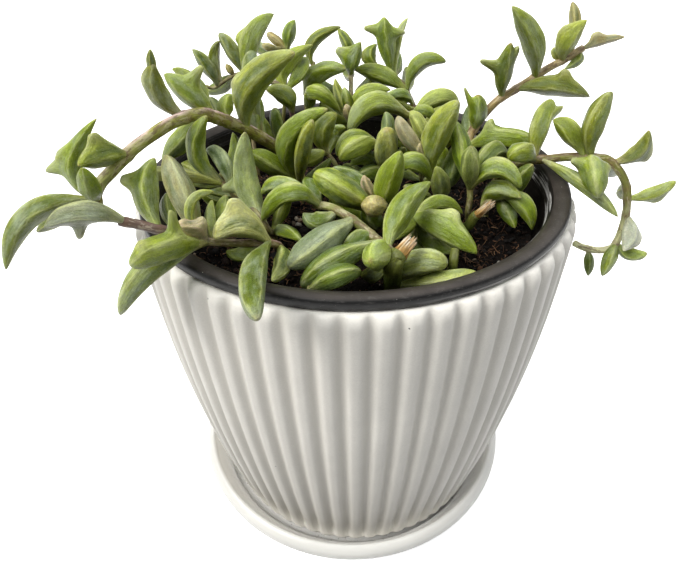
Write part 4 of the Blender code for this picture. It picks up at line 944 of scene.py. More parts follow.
# Lamps and room: how strong each is.
KEY_STRENGTH = 3.15
TOP_STRENGTH = 2.65
FILL_STRENGTH = 0.2
ROOM_LIGHT = 0.19

# One letter a leaf, in the order of the stem's rows: which tint of PALETTE it has.
TINTS = {
    "front_left_stem": "dggqkjygpyg",
    "front_branch_stem": "gwvgdssgddd",
    "front_short_stem": "d",
    "left_low_stem": "wgg",
    "left_arch_stem": "oogggogyggydgdd",
    "left_middle_stem": "hgwypgg",
    "centre_left_stem": "gygyd",
    "middle_stem": "ggdg",
    "centre_back_stem": "pgydgdd",
    "centre_front_stem": "gukyddg",
    "right_front_stem": "gdgdg",
    "right_middle_stem": "yskkpgdd",
    "right_inner_stem": "aggd",
    "right_low_stem": "ggd",
    "right_upper_spray": "gogogytpty",
    "right_lower_spray": "gogaggoyxygd",
    "back_left_stem": "ooogt",
    "back_left_upper_stem": "tgt",
    "back_purple_stem": "ygg",
    "back_middle_stem": "gogg",
    "back_centre_stem": "ggpgky",
    "back_right_stem": "ggpggg",
    "right_back_stem": "ysg",
}
# The pale tint q paints a highlight onto one leaf of the front left stem.
PALETTE = {
    "g": "#7f8e24", "o": "#727a1a", "y": "#94a036", "p": "#abb158", "a": "#8f9c4c",
    "s": "#9aa552", "d": "#60701a", "t": "#aa9a60", "k": "#b8a684", "w": "#848f68",
    "x": "#c6c8b0", "u": "#aba06a", "v": "#8f9f40", "h": "#a3b06c", "j": "#847e52", "q": "#bcbd78",
}
# What a leaf without a letter draws its own from.
ANY_TINT = list("gdgyd")
# The tint of a leaf that is grey with bloom all over.
GREY_WITH_BLOOM = "x"
# Tints of leaves whose tip looks at the eye: these are round, without keels.
ROUND = "uv"
# A stem's tint on its upper side, partly its own sun-tanned colour and partly a painted highlight, and below.
STEM_TINTS = {
    "left_arch_stem": ("#dcc0ba", "#8f8f3c"),
    "left_low_stem": ("#7b605c", "#4f3f30"),
    "front_left_stem": ("#b6948a", "#7a7040"),
    "front_branch_stem": ("#84865a", "#5f632c"),
    "right_upper_spray": ("#dcc7a4", "#a08c58"),
    "right_lower_spray": ("#7d6a4c", "#74762f"),
    "back_purple_stem": ("#a58594", "#8a6f78"),
    "back_left_stem": ("#a18a6c", "#7d7347"),
    "back_right_stem": ("#b59c74", "#8f7a58"),
}
PLAIN_STEM_TINT = ("#97915a", "#7b7a44")
STUB_TINT = ("#6c7c30", "#4a5a1e")
# The side of a stem that the sun has tanned, and that is painted lighter as a painted highlight.
TANNED_AND_PAINTED_LIT_SIDE = np.array((0.0, 0.6, 0.8))
# The tint that a stem takes on towards its end, and how much of it.
STEM_END_TINTS = {
    "right_lower_spray": ("#d6d7a6", 0.95), "left_low_stem": ("#66504a", 0.5),
    "right_upper_spray": ("#c4b386", 0.6),
}
PLAIN_END_TINT = ("#a3a768", 0.5)
STUB_END_TINT = ("#6b6a32", 0.5)
# Which of a plant's materials a face has, and the marks of a stub: halfway between keel and furrow.
IS_LEAF, IS_STEM = 0, 1
PLAIN_MARKS = np.array((1.0, 0.0, 0.0))
# Stems that are stouter than the plain ones.
STOUT = {"left_arch_stem": 1.22, "left_low_stem": 1.2}


# Arrays and meshes.


def linear(code):
    """A screen colour such as #8090a0 as linear red, green and blue."""
    parts = np.array([int(code[at : at + 2], 16) for at in (1, 3, 5)]) / 255
    return np.where(parts < 0.04045, parts / 12.92, ((parts + 0.055) / 1.055) ** 2.4)


def blend(tints, code, share):
    """The tints with so large a share of a screen colour in them."""
    return tints * (1 - share) + linear(code) * share


def packed(*parts):
    """Arrays of X, Y and Z, or of three marks, stretched to one shape and put together."""
    return np.stack(np.broadcast_arrays(*parts), -1)


def round_angles(count):
    """The angles of so many points spread evenly round a ring."""
    return np.arange(count) * math.tau / count


def units(vectors):
    """Each row of vectors with length 1."""
    return vectors / np.linalg.norm(vectors, axis=1, keepdims=True)


def bell(distance, width):
    """1 at no distance, falling smoothly to nothing at a few widths."""
    return np.exp(-((distance / width) ** 2))


def ease(low, high, value):
    """0 below low, 1 above high, and a smooth slope between."""
    share = np.clip((value - low) / (high - low), 0, 1)
    return share * share * (3 - 2 * share)


class Skin:
    """Closed skins gathered into one mesh, with a tint, a place in the flesh and marks for each point."""

    def __init__(self):
        self.points, self.tints, self.flesh, self.marks = [], [], [], []
        self.fours, self.threes, self.four_kinds, self.three_kinds = [], [], [], []
        self.count = 0

    def put(self, points, fours, threes, tints, flesh, marks, kind=0):
        """Adds points with their faces, which count from the first of these points."""
        self.points.append(points)
        self.tints.append(np.broadcast_to(tints, points.shape))
        self.flesh.append(np.broadcast_to(flesh, points.shape))
        self.marks.append(np.broadcast_to(marks, points.shape))
        self.fours.append(np.reshape(fours, (-1, 4)) + self.count)
        self.threes.append(np.reshape(threes, (-1, 3)) + self.count)
        self.four_kinds.append(np.full(len(self.fours[-1]), kind))
        self.three_kinds.append(np.full(len(self.threes[-1]), kind))
        self.count += len(points)

    def lay(self, rings, ends, tints, flesh, marks, kind=0):
        """Adds rings of points, which turn left round their way, and closes them with a point at each end."""
        rows, around = rings.shape[:2]
        ids = np.arange(rows * around).reshape(rows, around)
        after = np.roll(ids, -1, 1)
        fours = np.stack((ids[:-1], after[:-1], after[1:], ids[1:]), -1)
        first, last = np.full(around, rows * around), np.full(around, rows * around + 1)
        threes = np.concatenate(
            (np.stack((after[0], ids[0], first), -1), np.stack((ids[-1], after[-1], last), -1))
        )
        filled = []
        for values in (tints, flesh, marks):
            whole = np.broadcast_to(values, rings.shape)
            poles = (whole[0].mean(0), whole[-1].mean(0))
            filled.append(np.vstack((whole.reshape(-1, 3), *(pole[None] for pole in poles))))
        points = np.vstack((rings.reshape(-1, 3), *(np.asarray(end)[None] for end in ends)))
        self.put(points, fours, threes, *filled, kind)

    def loop(self, rings, tints, flesh, marks, kind=0):
        """Adds rings of points whose last ring joins the first, as on a pot with a hole in its floor."""
        rows, around = rings.shape[:2]
        ids = np.arange(rows * around).reshape(rows, around)
        after, above = np.roll(ids, -1, 1), np.roll(ids, -1, 0)
        fours = np.stack((ids, after, np.roll(after, -1, 0), above), -1)
        filled = [np.broadcast_to(part, rings.shape).reshape(-1, 3) for part in (tints, flesh, marks)]
        self.put(rings.reshape(-1, 3), fours, np.empty((0, 3), int), *filled, kind)

    def finish(self, name, slot, materials, *nodes):
        """The gathered skins as one smooth piece, in place of the CAD nodes named."""
        mesh = bpy.data.meshes.new(name)
        points = np.concatenate(self.points) * MM
        fours, threes = np.concatenate(self.fours), np.concatenate(self.threes)
        mesh.vertices.add(len(points))
        mesh.vertices.foreach_set("co", points.ravel())
        corners = np.concatenate((fours.ravel(), threes.ravel()))
        mesh.loops.add(len(corners))
        mesh.loops.foreach_set("vertex_index", corners)
        counts = np.concatenate((np.full(len(fours), 4), np.full(len(threes), 3)))
        mesh.polygons.add(len(counts))
        mesh.polygons.foreach_set("loop_start", np.concatenate(((0,), np.cumsum(counts)[:-1])))
        kinds = np.concatenate(self.four_kinds + self.three_kinds)
        mesh.polygons.foreach_set("material_index", kinds)
        colours = np.concatenate(self.tints)
        tint = mesh.attributes.new("tint", "FLOAT_COLOR", "POINT")
        tint.data.foreach_set("color", np.hstack((colours, np.ones((len(colours), 1)))).ravel())
        for label, values in (("flesh", self.flesh), ("marks", self.marks)):
            made = mesh.attributes.new(label, "FLOAT_VECTOR", "POINT")
            made.data.foreach_set("vector", np.concatenate(values).ravel())
        mesh.update(calc_edges=True)
        mesh.validate()
        mesh.shade_smooth()
        piece = bpy.data.objects.new(name, mesh)
        bpy.context.scene.collection.objects.link(piece)
        for surface in materials:
            mesh.materials.append(surface)
        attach(piece, "root")
        if nodes:
            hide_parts(*nodes)
        return piece


def turned_rings(profile, around):
    """A profile of (radius, height) turned about the Z axis, one ring a point."""
    profile = np.array(profile, float)
    angle = round_angles(around)
    ring = np.stack((np.cos(angle), np.sin(angle)), -1)
    flat = profile[:, None, :1] * ring[None]
    high = np.broadcast_to(profile[:, None, 1:], (len(profile), around, 1))
    return np.concatenate((flat, high), 2)


def rounded(points, step=1.0):
    """A smooth curve of (radius, height) through points."""
    spots = smooth_route([np.array((radius, 0.0, height)) for radius, height in points], step)
    return spots[:, [0, 2]]


def tube_rings(route, radii, around, uneven=1.0):
    """Rings round a route, turning left as seen from its end, and the outward directions."""
    along = units(np.gradient(route, axis=0))
    level = units(np.cross(along, ASKEW))
    upright = np.cross(along, level)
    angle = round_angles(around)
    out = level[:, None] * np.cos(angle)[:, None] + upright[:, None] * np.sin(angle)[:, None]
    radii = np.asarray(radii)[:, None] * uneven
    return route[:, None] + out * radii[..., None], out


# Leaves and stems.


def leaf_axes(leaf, shares):
    """At each share of a leaf its middle, its outward side and the side across that."""
    start, middle, end = leaf.ends
    control = 2 * middle - (start + end) / 2
    part = shares[:, None]
    along = units(2 * (1 - part) * (control - start) + 2 * part * (end - control))
    bulge = middle - (start + end) / 2
    if np.linalg.norm(bulge) < STRAIGHT_BEND:
        bulge = np.array((0.0, 0.0, 1.0)) + 0.2 * EYE_RIGHT
    outward = units(bulge - along * (along @ bulge)[:, None])
    return on_bend(leaf.ends, shares), outward, np.cross(along, outward)


def plumpness(share, pointed):
    """How full a fine leaf is at this share of its length: as the plain one, with a rounder end."""
    past = np.clip((share - LEAF_FULLEST) / (1 - LEAF_FULLEST), 0, 1)
    return np.where(share < LEAF_FULLEST, leaf_fullness(share), (1 - past**2.2) ** pointed)


def leaf_shares(leaf, long):
    """Where a leaf's rings lie along it: closer together towards the tip and round each fin."""
    rising = np.linspace(0.01, 0.985, LEAF_ROWS)
    shares = [*(1 - (1 - rising) ** 1.5)]
    for share, _ in leaf.fins:
        shares += [share + step * FIN_ROW / long for step in range(-7, 8)]
    shares = np.sort(np.clip(shares, 0.015, 0.998))
    kept = np.concatenate(((True,), np.diff(shares) > 0.06 / long))
    return shares[kept]


def section_angles(leaf, shares, outward, side, twist):
    """Angles of a section's points: closer together at the keels, or round the longest fin."""
    even = round_angles(LEAF_AROUND)
    if not leaf.fins:
        return even - 0.2 * np.sin(2 * even)
    reaches = [(share, point - on_bend(leaf.ends, share)) for share, point in leaf.fins]
    share, away = max(reaches, key=lambda reach: np.linalg.norm(reach[1]))
    at = np.abs(shares - share).argmin()
    first = math.atan2(away @ side[at], away @ outward[at]) - twist[at, 0]
    return first + even - FIN_CROWD * np.sin(even)


def draw_out_fins(leaf, rings, shares, angle, long):
    """The rings with the skin drawn out to each fin's point, and how much of a fin each point is."""
    finned, moved, weight = np.zeros(rings.shape[:2]), np.zeros(rings.shape), 1e-9
    for share, point in leaf.fins:
        at = np.abs(shares - share).argmin()
        nearest = np.linalg.norm(rings[at] - point, axis=1).argmin()
        height = np.linalg.norm(point - rings[at, nearest])
        reach = np.clip(2.7 - 0.16 * height, FIN_SLIM, FIN_STOUT) * (1 + ease(0.75, 0.9, share))
        turn = (angle - angle[nearest] + math.pi) % math.tau - math.pi
        arc = turn[None] * leaf.wide / 2 * leaf_fullness(np.array(share))
        apart = np.hypot((shares[:, None] - share) * long, 1.2 * arc) / reach
        pull = 1 / (1 + apart**4)
        moved = moved + (point - rings[at, nearest]) * pull[..., None] ** 4
        weight = weight + pull**3
        finned = np.maximum(finned, pull)
    return rings + moved / np.reshape(weight, (*np.shape(weight), 1)), finned


def kept_in_box(rings, row):
    """The rings bent in, more towards the tip, where they would leave the box of the plain model."""
    over = np.maximum(BOX[0] - rings.min(axis=(0, 1)), 0) - np.maximum(rings.max(axis=(0, 1)) - BOX[1], 0)
    return rings + over * 1.05 * ease(0.0, 0.5, row)[..., None]


def leaf_tints(letter, row, finned, chance):
    """The leaf's own green, paler at the stalk and on the fins, with a dry brown tip."""
    tints = linear(PALETTE[letter])
    tints = tints * chance.uniform(1.0, 1.2) * (1 + chance.uniform(-0.05, 0.05, 3))
    stalk = 0.6 * (1 - ease(0.0, 0.3, row))
    tip = ease(0.96, 1.0, row) * chance.uniform(0.1, 0.8)
    stalk_tint = chance.choice(["#a9a870", "#b0a07c", "#8f9a4e"])
    for share, code in ((stalk, stalk_tint), (tip, "#a08a52"), (0.45 * finned**2, "#c3c08c")):
        tints = blend(tints, code, np.broadcast_to(share, finned.shape)[..., None])
    return tints


def add_leaf(skin, leaf, letter, chance):
    """A fleshy bent leaf.

    Its rings follow a quadratic bend. Their radius is half the width times the leaf's fullness, drawn
    out to a narrow keel on the outward and the inward side, with a long furrow on each flank beside a
    low ridge, and slow lumps. The section turns a little along the leaf. A fin is the skin round one
    spot drawn out to the fin's point. The pull falls off with the fourth power of the distance from
    that spot, and where two fins pull, the stronger wins, so that a fin is a blunt thumb, slimmer
    where it is long. A fin that leans along the leaf is a small leaf of its own, rooted in the big
    one. At last the leaf is bent in where it would leave the box of the plain model.
    """
    for fin in leaf.fins:
        base = on_bend(leaf.ends, fin[0])
        if unit(fin[1] - base) @ unit(leaf.ends[2] - leaf.ends[1]) > LEANING:
            leaf = leaf._replace(fins=tuple(other for other in leaf.fins if other is not fin))
            horn = leaf._replace(ends=(base, (base + fin[1]) / 2, fin[1]), wide=HORN_WIDE, fins=())
            add_leaf(skin, horn, letter, chance)
    long = np.linalg.norm(leaf.ends[2] - leaf.ends[0])
    shares = leaf_shares(leaf, long)
    middle, outward, side = leaf_axes(leaf, shares)
    row = shares[:, None]
    twist = chance.uniform(-0.4, 0.4) * (0.4 if leaf.fins else 1.0) * (row - 0.5)
    angle = section_angles(leaf, shares, outward, side, twist)
    cos, sin = np.cos(angle)[None], np.sin(angle)[None]
    turned_by = np.arccos(np.clip(cos, -1, 1))
    phases = chance.uniform(0, math.tau, 4)
    flank = ease(0.06, 0.3, row) * (1 - ease(0.75, 0.97, row))
    keel = np.maximum(bell(turned_by, 0.24), bell(math.pi - turned_by, 0.24)) * flank
    ridge = bell(turned_by - RIDGE_AT, 0.26) * flank
    furrow = bell(turned_by - RIDGE_AT + FURROW_OFF, 0.34) * flank
    behind = bell(turned_by - RIDGE_AT - FURROW_OFF, 0.3) * flank
    blunt = letter in ROUND
    lumps = 1 + 0.03 * np.sin(9 * row + phases[0]) * np.cos(angle + phases[1])
    lumps = lumps + 0.02 * np.sin(19 * row + phases[2]) * np.cos(2 * angle + phases[3])
    swell = 1 + (0 if blunt else KEEL) * keel + 0.04 * ridge - 0.09 * furrow - 0.05 * behind
    full = plumpness(shares, chance.uniform(0.5, 0.8))[:, None]
    radius = leaf.wide / 2 * LEAF_FULL * full * lumps * swell
    high = radius * cos * LEAF_THICK
    wide = radius * np.sign(sin) * np.abs(sin) ** (1 if blunt else LENS)
    across = high * np.cos(twist) - wide * np.sin(twist)
    beside = high * np.sin(twist) + wide * np.cos(twist)
    plain = middle[:, None] + across[..., None] * outward[:, None] + beside[..., None] * side[:, None]
    rings, finned = draw_out_fins(leaf, plain, shares, angle, long)
    rings = kept_in_box(rings, row)
    tip_end = leaf.ends[2] + rings[-1].mean(axis=0) - plain[-1].mean(axis=0)
    foot = leaf.ends[0] - 0.2 * unit(leaf.ends[1] - leaf.ends[0])

    tints = leaf_tints(letter, row, finned, chance)
    flesh = packed(row * long, radius * cos, radius * sin)
    flesh = flesh + chance.uniform(-FLESH_SHIFT, FLESH_SHIFT, 3)
    bloom = 1.0 if letter == GREY_WITH_BLOOM else chance.uniform(0.15, 0.8)
    clear = flank * (1 - finned) * chance.uniform(0.4, 1.0)
    skin.lay(rings, (foot, tip_end), tints, flesh, packed(turned_by, clear, bloom), IS_LEAF)


def add_stem(skin, name, route, thick, end_share, leaves, chance):
    """A round stem that thins evenly, swells where each leaf sits and is ringed by faint joints."""
    foot = route[0] - np.array((0, 0, ROOT_DEEP - 1.0))
    route = smooth_route([foot, *route[: -1 : max(1, len(route) // 24)], route[-1]], STEM_STEP)
    share = np.linspace(0, 1, len(route))
    radii = thick / 2 * (1 - (1 - end_share) * share)
    joints = np.zeros(len(route))
    for leaf in leaves:
        joints = np.maximum(joints, bell(np.linalg.norm(route - leaf.ends[0], axis=1), 1.1))
    angle = round_angles(STEM_AROUND)
    uneven = STOUT.get(name, STEM_FULL) + 0.13 * joints[:, None]
    uneven = uneven + 0.03 * np.sin(3 * angle + 14 * share[:, None])
    uneven = uneven + 0.02 * np.sin(share[:, None] * len(route) * 0.45 + 2 * angle)
    rings, out = tube_rings(route, radii, STEM_AROUND, uneven)
    pair = STEM_TINTS.get(name, PLAIN_STEM_TINT) if leaves else STUB_TINT
    top, below = (linear(code) for code in pair)
    away = np.concatenate(((0,), np.cumsum(np.linalg.norm(np.diff(route, axis=0), axis=1))))
    streaks = np.zeros((len(route), STEM_AROUND))
    for turns in (1, 2, 3, 5):
        streaks += np.sin(turns * angle + chance.uniform(0.1, 1.1) * away[:, None] + chance.uniform(0, 6))
    # The upper side takes the paler tint: partly the stem's own tanned colour, partly a painted highlight.
    facing = (out @ TANNED_AND_PAINTED_LIT_SIDE)[..., None]
    up = ease(0.25, 0.65, facing) * ease(-2.2, 0.2, streaks)[..., None]
    tints = below * (1 - up) + top * up
    seam = bell(facing - 0.3, 0.2) * ease(-0.6, 1.0, streaks)[..., None] * (0.75 if leaves else 0.15)
    tints = blend(tints, "#5e4936", seam)
    end_tint, much = STEM_END_TINTS.get(name, PLAIN_END_TINT) if leaves else STUB_END_TINT
    tints = blend(tints, end_tint, ease(0.7, 0.9, share)[:, None, None] * much)
    tints = blend(tints, "#7a5b40", joints[:, None, None] * 0.4)
    flesh = packed(away[:, None], radii[:, None] * np.cos(angle), radii[:, None] * np.sin(angle))
    flesh = flesh + chance.uniform(-FLESH_SHIFT, FLESH_SHIFT, 3)
    end = route[-1] + unit(route[-1] - route[-2]) * radii[-1] * 0.5
    skin.lay(rings, (route[0], end), tints, flesh, PLAIN_MARKS, IS_STEM if leaves else IS_LEAF)


def make_plants(trunks, materials):
    """Each leafy stem as one piece."""
    chance = np.random.default_rng(21)
    for trunk in trunks:
        skin = Skin()
        for stub in STUBS:
            if stub.name == trunk.name:
                add_stem(skin, trunk.name, stub_route(stub), stub.thick, 1.0, (), chance)
        add_stem(skin, trunk.name, trunk.route, trunk.thick, STEM_END_SHARE, trunk.leaves, chance)
        letters = TINTS.get(trunk.name, "")
        for number, leaf in enumerate(trunk.leaves):
            letter = letters[number] if number < len(letters) else chance.choice(ANY_TINT)
            add_leaf(skin, leaf, letter, chance)
        skin.finish("fine_" + trunk.name, "leaf_green", materials, trunk.name)
    lone = STUBS[1]
    skin = Skin()
    add_stem(skin, lone.name, stub_route(lone), lone.thick, 1.0, (), chance)
    skin.finish("fine_" + lone.name, "leaf_green", materials, lone.name)


def make_dry_end(name, stub, surface):
    """The dried end of a cut shoot: a shrunken core and a sheaf of torn fibres that spread a little."""
    chance = np.random.default_rng(5)
    skin = Skin()
    start, end = seen(*stub.end), seen(*stub.dry_tip)
    along = unit(end - start)
    level = unit(np.cross(along, (0, 0, 1)))
    upright = np.cross(level, along)
    long = np.linalg.norm(end - start)
    core = start + along * np.linspace(0, 0.7, DRY_ROWS)[:, None] * long
    angle = round_angles(DRY_AROUND)
    uneven = 1 + 0.08 * np.sin(5 * angle)[None] + 0.04 * np.sin(8 * angle + 1)[None]
    radii = stub.thick / 2 * np.linspace(0.93, 0.5, DRY_ROWS)
    rings = tube_rings(core, radii, DRY_AROUND, uneven)[0]
    row = np.linspace(0, 1, DRY_ROWS)[:, None, None]
    tints = blend(linear("#97702f"), "#cfae74", row)
    flesh = packed(row[..., 0] * long, np.cos(angle) * 2, np.sin(angle) * 2)
    skin.lay(rings, (core[0], core[-1]), tints, flesh, 0.0)
    for number in range(DRY_FIBRES):
        turn = math.tau * number / DRY_FIBRES + chance.uniform(-0.1, 0.1)
        out = level * math.cos(turn) + upright * math.sin(turn)
        beside = np.cross(along, out)
        reach = chance.uniform(0.7, 1.0)
        share = np.linspace(0, 1, 7)[:, None]
        hold = chance.uniform(0.55, 0.95)
        spread = hold + share**2 * chance.uniform(-0.3, 0.05)
        route = start + along * (0.06 + 0.94 * share * reach) * long + out * spread * stub.thick / 2 * 0.92
        route = route + beside * chance.uniform(-0.5, 0.5) * share**2
        wide = chance.uniform(0.28, 0.5) * (1 - 0.75 * share**3)
        corner = round_angles(6)
        blade = (
            route[:, None]
            - beside * (wide * np.cos(corner))[..., None]
            + out * (0.35 * wide * np.sin(corner))[..., None]
        )
        pale = ease(0.2, 0.9, share)[..., None]
        tints = blend(linear(chance.choice(DRY_ROOT_TINTS)), chance.choice(DRY_TIP_TINTS), pale)
        place = packed(share * long, np.cos(corner), np.sin(corner))
        skin.lay(blade, (route[0], route[-1]), tints, place + number * 7.0, 0.0)
    skin.finish("fine_" + name, "dry_tan", [surface], name)


# Pots and saucer.


def make_fine_saucer(surface):
    """A shallow dish turned from a smooth profile: a thick rolled lip round a flat floor."""
    inner = SAUCER_FLOOR_RADIUS
    under = rounded([
        (10.0, 0.0), (SAUCER_OUTER - 13.0, 0.0), (SAUCER_OUTER - 8.5, 0.8), (SAUCER_OUTER - 4.0, 3.0),
        (SAUCER_OUTER - 0.8, 6.5), (SAUCER_OUTER, 9.6), (SAUCER_OUTER - 0.7, 12.2),
        (SAUCER_OUTER - 2.2, 13.6), (inner + 7.0, SAUCER_HIGH), (inner + 5.9, 13.2),
        (inner + 4.7, 10.6), (inner + 3.3, 7.4), (inner + 1.6, 4.4), (inner - 0.6, 2.6),
        (inner - 4.0, SAUCER_FLOOR), (10.0, SAUCER_FLOOR),
    ])
    under[:, 1] = np.clip(under[:, 1], 0.0, SAUCER_HIGH)
    rings = turned_rings(under, SAUCER_AROUND)
    rings[..., 0] += SAUCER_ACROSS
    skin = Skin()
    ends = ((SAUCER_ACROSS, 0, 0), (SAUCER_ACROSS, 0, SAUCER_FLOOR))
    # Painted light and shade: the inside of the dish is tinted whiter, as painted light where the pot shades
    # it, and the outside and the lip are tinted greyer, as painted shade.
    inside = (np.arange(len(under)) > under[:, 1].argmax()) * ease(0.2, 2.5, SAUCER_HIGH - under[:, 1])
    tints = blend(linear("#d4d3ce"), "#f8f7f4", inside[:, None, None])
    skin.lay(rings, ends, tints, rings, 0.0)
    skin.finish("fine_saucer", "saucer_white", [surface], "saucer")


def make_fine_cover_pot(surface):
    """The fluted pot as one closed skin.

    Its rings run up the outside, over the lip, down the inside and through the drain. Across each of
    the 60 ribs the outside sinks by the fourth power of a cosine, so that rounded grooves part full
    ribs. The ribs' tops and feet are rounded over.
    """
    around = RIBS * SEGMENTS
    angle = RIB_TURN + round_angles(around)
    valley = np.cos(math.pi * (np.arange(around) % SEGMENTS) / SEGMENTS) ** 4
    top, foot = COVER_TOP - 0.15, COVER_FOOT
    outside = np.concatenate((
        foot + np.array((0.0, 0.15, 0.5, 1.1, 1.9, 2.8, 3.8, 5.0, 6.4, 8.0, 10.0, 12.5)),
        np.linspace(18, 136, 26),
        top - np.array((5.5, 4.0, 3.0, 2.2, 1.5, 0.9, 0.45, 0.15, 0.0)),
    ))
    crest = cover_radius(outside)
    above = np.clip(1 - (top - outside) / 4.2, 0, 1)
    crest = crest - 2.6 * (1 - np.sqrt(1 - above**2))
    below = np.clip(1 - (outside - foot) / 2.6, 0, 1)
    crest = crest - 1.3 * (1 - np.sqrt(1 - below**2))
    depth = RIB_DEPTH * (0.3 + 0.7 * ease(foot + 1, foot + 12, outside)) * (1 - 0.45 * above**2)
    outer = crest[:, None] - depth[:, None] * valley[None]
    inside = np.array((top, top - 0.5, top - 1.5, 98.0, 50.0, foot + COVER_FLOOR + 6.0))
    wall = cover_radius(inside) - COVER_WALL + np.array((0.9, 0.25, 0, 0, 0, -0.5))
    low = np.array((
        (wall[-1] - 2.0, foot + COVER_FLOOR + 2.0), (wall[-1] - 6.0, foot + COVER_FLOOR),
        (20.0, foot + COVER_FLOOR), (COVER_DRAIN + 0.5, foot + COVER_FLOOR),
        (COVER_DRAIN, foot + COVER_FLOOR - 0.5), (COVER_DRAIN, foot + 0.5), (COVER_DRAIN + 0.5, foot),
        (30.0, foot), (crest[0] - RIB_DEPTH - 1.0, foot),
    ))
    radii = np.concatenate((wall, low[:, 0]))
    smooth = np.broadcast_to(radii[:, None], (len(radii), around))
    radius = np.vstack((outer, smooth))
    height = np.concatenate((outside, inside, low[:, 1]))[:, None]
    rings = packed(radius * np.sin(angle), -radius * np.cos(angle), height)
    marks = np.zeros(rings.shape)
    marks[: len(outside), :, 0] = valley * (depth[:, None] / RIB_DEPTH)
    skin = Skin()
    skin.loop(rings, linear("#e4e1d9"), rings, marks)
    skin.finish("fine_cover_pot", "pot_white", [surface], "cover_pot")


def make_fine_nursery_pot(surface):
    """The thin black pot: a rolled rim, two pairs of fine rings inside under it, and plain walls."""
    under_rim = COVER_TOP + GAP
    floor = NURSERY_FOOT + NURSERY_WALL
    rim = [
        (RIM_OUTER - 2.0, under_rim), (RIM_OUTER - 0.4, under_rim + 0.1), (RIM_OUTER, under_rim + 0.7),
        (RIM_OUTER, RIM_TOP - 1.5), (RIM_OUTER - 0.35, RIM_TOP - 0.5), (RIM_OUTER - 1.1, RIM_TOP - 0.08),
        (RIM_OUTER - 2.0, RIM_TOP), (RIM_INNER + 0.9, RIM_TOP - 0.1), (RIM_INNER + 0.2, RIM_TOP - 0.6),
    ]
    inner = []
    for height in np.concatenate((np.linspace(RIM_TOP - 1.3, 138.0, 44), np.linspace(137, 118, 14))):
        ring = sum(bell(height - at, 0.22) for at in FINE_RINGS)
        flare = 0.6 * ease(143.5, 147.5, height)
        inner.append((nursery_radius(height) - NURSERY_WALL + flare - 0.35 * ring, height))
    inner += [(nursery_radius(high) - NURSERY_WALL, high) for high in (90.0, 60.0, floor + 2.0)]
    inner += [(inner[-1][0] - 2.0, floor), (20.0, floor)]
    below = [
        (20.0, NURSERY_FOOT), (NURSERY_FOOT_RADIUS - 1.5, NURSERY_FOOT),
        (NURSERY_FOOT_RADIUS, NURSERY_FOOT + 1.5), (nursery_radius(90.0), 90.0),
        (nursery_radius(under_rim - 0.8), under_rim - 0.8), (nursery_radius(under_rim) + 0.8, under_rim),
    ]
    profile = [*below, *rim, *inner]
    rings = turned_rings(profile, NURSERY_AROUND)
    tones = np.array([linear("#14110f")] * len(profile))
    rim_side, rim_top = len(below), len(below) + 5
    # The rim's underside and outer face are tinted darker than the rest, as painted shade; its top is paler.
    tones[rim_side:rim_top] = linear("#090808")
    tones[rim_top : rim_top + 5] = linear("#37322e")
    skin = Skin()
    skin.lay(rings, ((0, 0, NURSERY_FOOT), (0, 0, floor)), tones[:, None], rings, 0.0)
    piece = skin.finish("fine_nursery_pot", "rim_black", [surface], "nursery_pot")
    drill = Skin()
    for hole in range(DRAIN_HOLES):
        turn = math.tau * hole / DRAIN_HOLES
        spot = np.array((DRAIN_CIRCLE * math.cos(turn), DRAIN_CIRCLE * math.sin(turn), 0))
        wall = [(DRAIN_RADIUS, NURSERY_FOOT - 3), (DRAIN_RADIUS, floor + 3)]
        ring = turned_rings(wall, DRAIN_AROUND) + spot
        ends = (spot + (0, 0, NURSERY_FOOT - 3), spot + (0, 0, floor + 3))
        drill.lay(ring, ends, 0.0, 0.0, 0.0)
    cut_with(piece, drill)


def cut_with(piece, drill):
    """Cuts the closed skins of a drill out of a piece, for good."""
    mesh = bpy.data.meshes.new("drill")
    points = np.concatenate(drill.points) * MM
    faces = [*np.concatenate(drill.fours).tolist(), *np.concatenate(drill.threes).tolist()]
    mesh.from_pydata(points.tolist(), [], faces)
    tool = bpy.data.objects.new("drill", mesh)
    bpy.context.scene.collection.objects.link(tool)
    cut = piece.modifiers.new("Drain holes", "BOOLEAN")
    cut.operation = "DIFFERENCE"
    cut.object = tool
    cut.solver = "EXACT"
    graph = bpy.context.evaluated_depsgraph_get()
    pierced = bpy.data.meshes.new_from_object(piece.evaluated_get(graph))
    piece.modifiers.clear()
    piece.data = pierced
    bpy.data.objects.remove(tool, do_unlink=True)


# Soil.


def soil_top(across, behind, waves):
    """The height of the soil: the plain model's slow swell, and lumps of many sizes on it."""
    wave = np.sin(across * 0.21 + 1.3) * np.sin(behind * 0.17 - 0.6)
    wave = wave + 0.6 * np.sin(across * 0.09 - behind * 0.13)
    height = SOIL_TOP + SOIL_UNEVEN * wave / 1.6
    for turn, length, phase, high in waves:
        along = across * math.cos(turn) + behind * math.sin(turn)
        height = height + high * np.sin(along * math.tau / length + phase)
    return height


def make_soil_body(surface, side, waves):
    """The soil as a closed body that fills the pot, with a lumpy top."""
    floor = NURSERY_FOOT + NURSERY_WALL + GAP
    foot = nursery_radius(floor) - NURSERY_WALL - GAP - 0.1
    profile = [(foot - 1, floor), (foot, floor + 1), (side, SOIL_TOP - 1.5)]
    below = len(profile)
    profile += [(radius, SOIL_TOP) for radius in np.linspace(side - 0.5, 0.8, SOIL_ROWS)]
    rings = turned_rings(profile, SOIL_AROUND)
    rings[below:, :, 2] = soil_top(rings[below:, :, 0], rings[below:, :, 1], waves)
    rings[below, :, 2] -= 0.5
    middle = soil_top(np.zeros(1), np.zeros(1), waves)[0]
    skin = Skin()
    skin.lay(rings, ((0, 0, floor), (0, 0, middle)), linear("#0e0906"), rings, 0.0)
    skin.finish("fine_soil", "soil_brown", [surface], "soil")


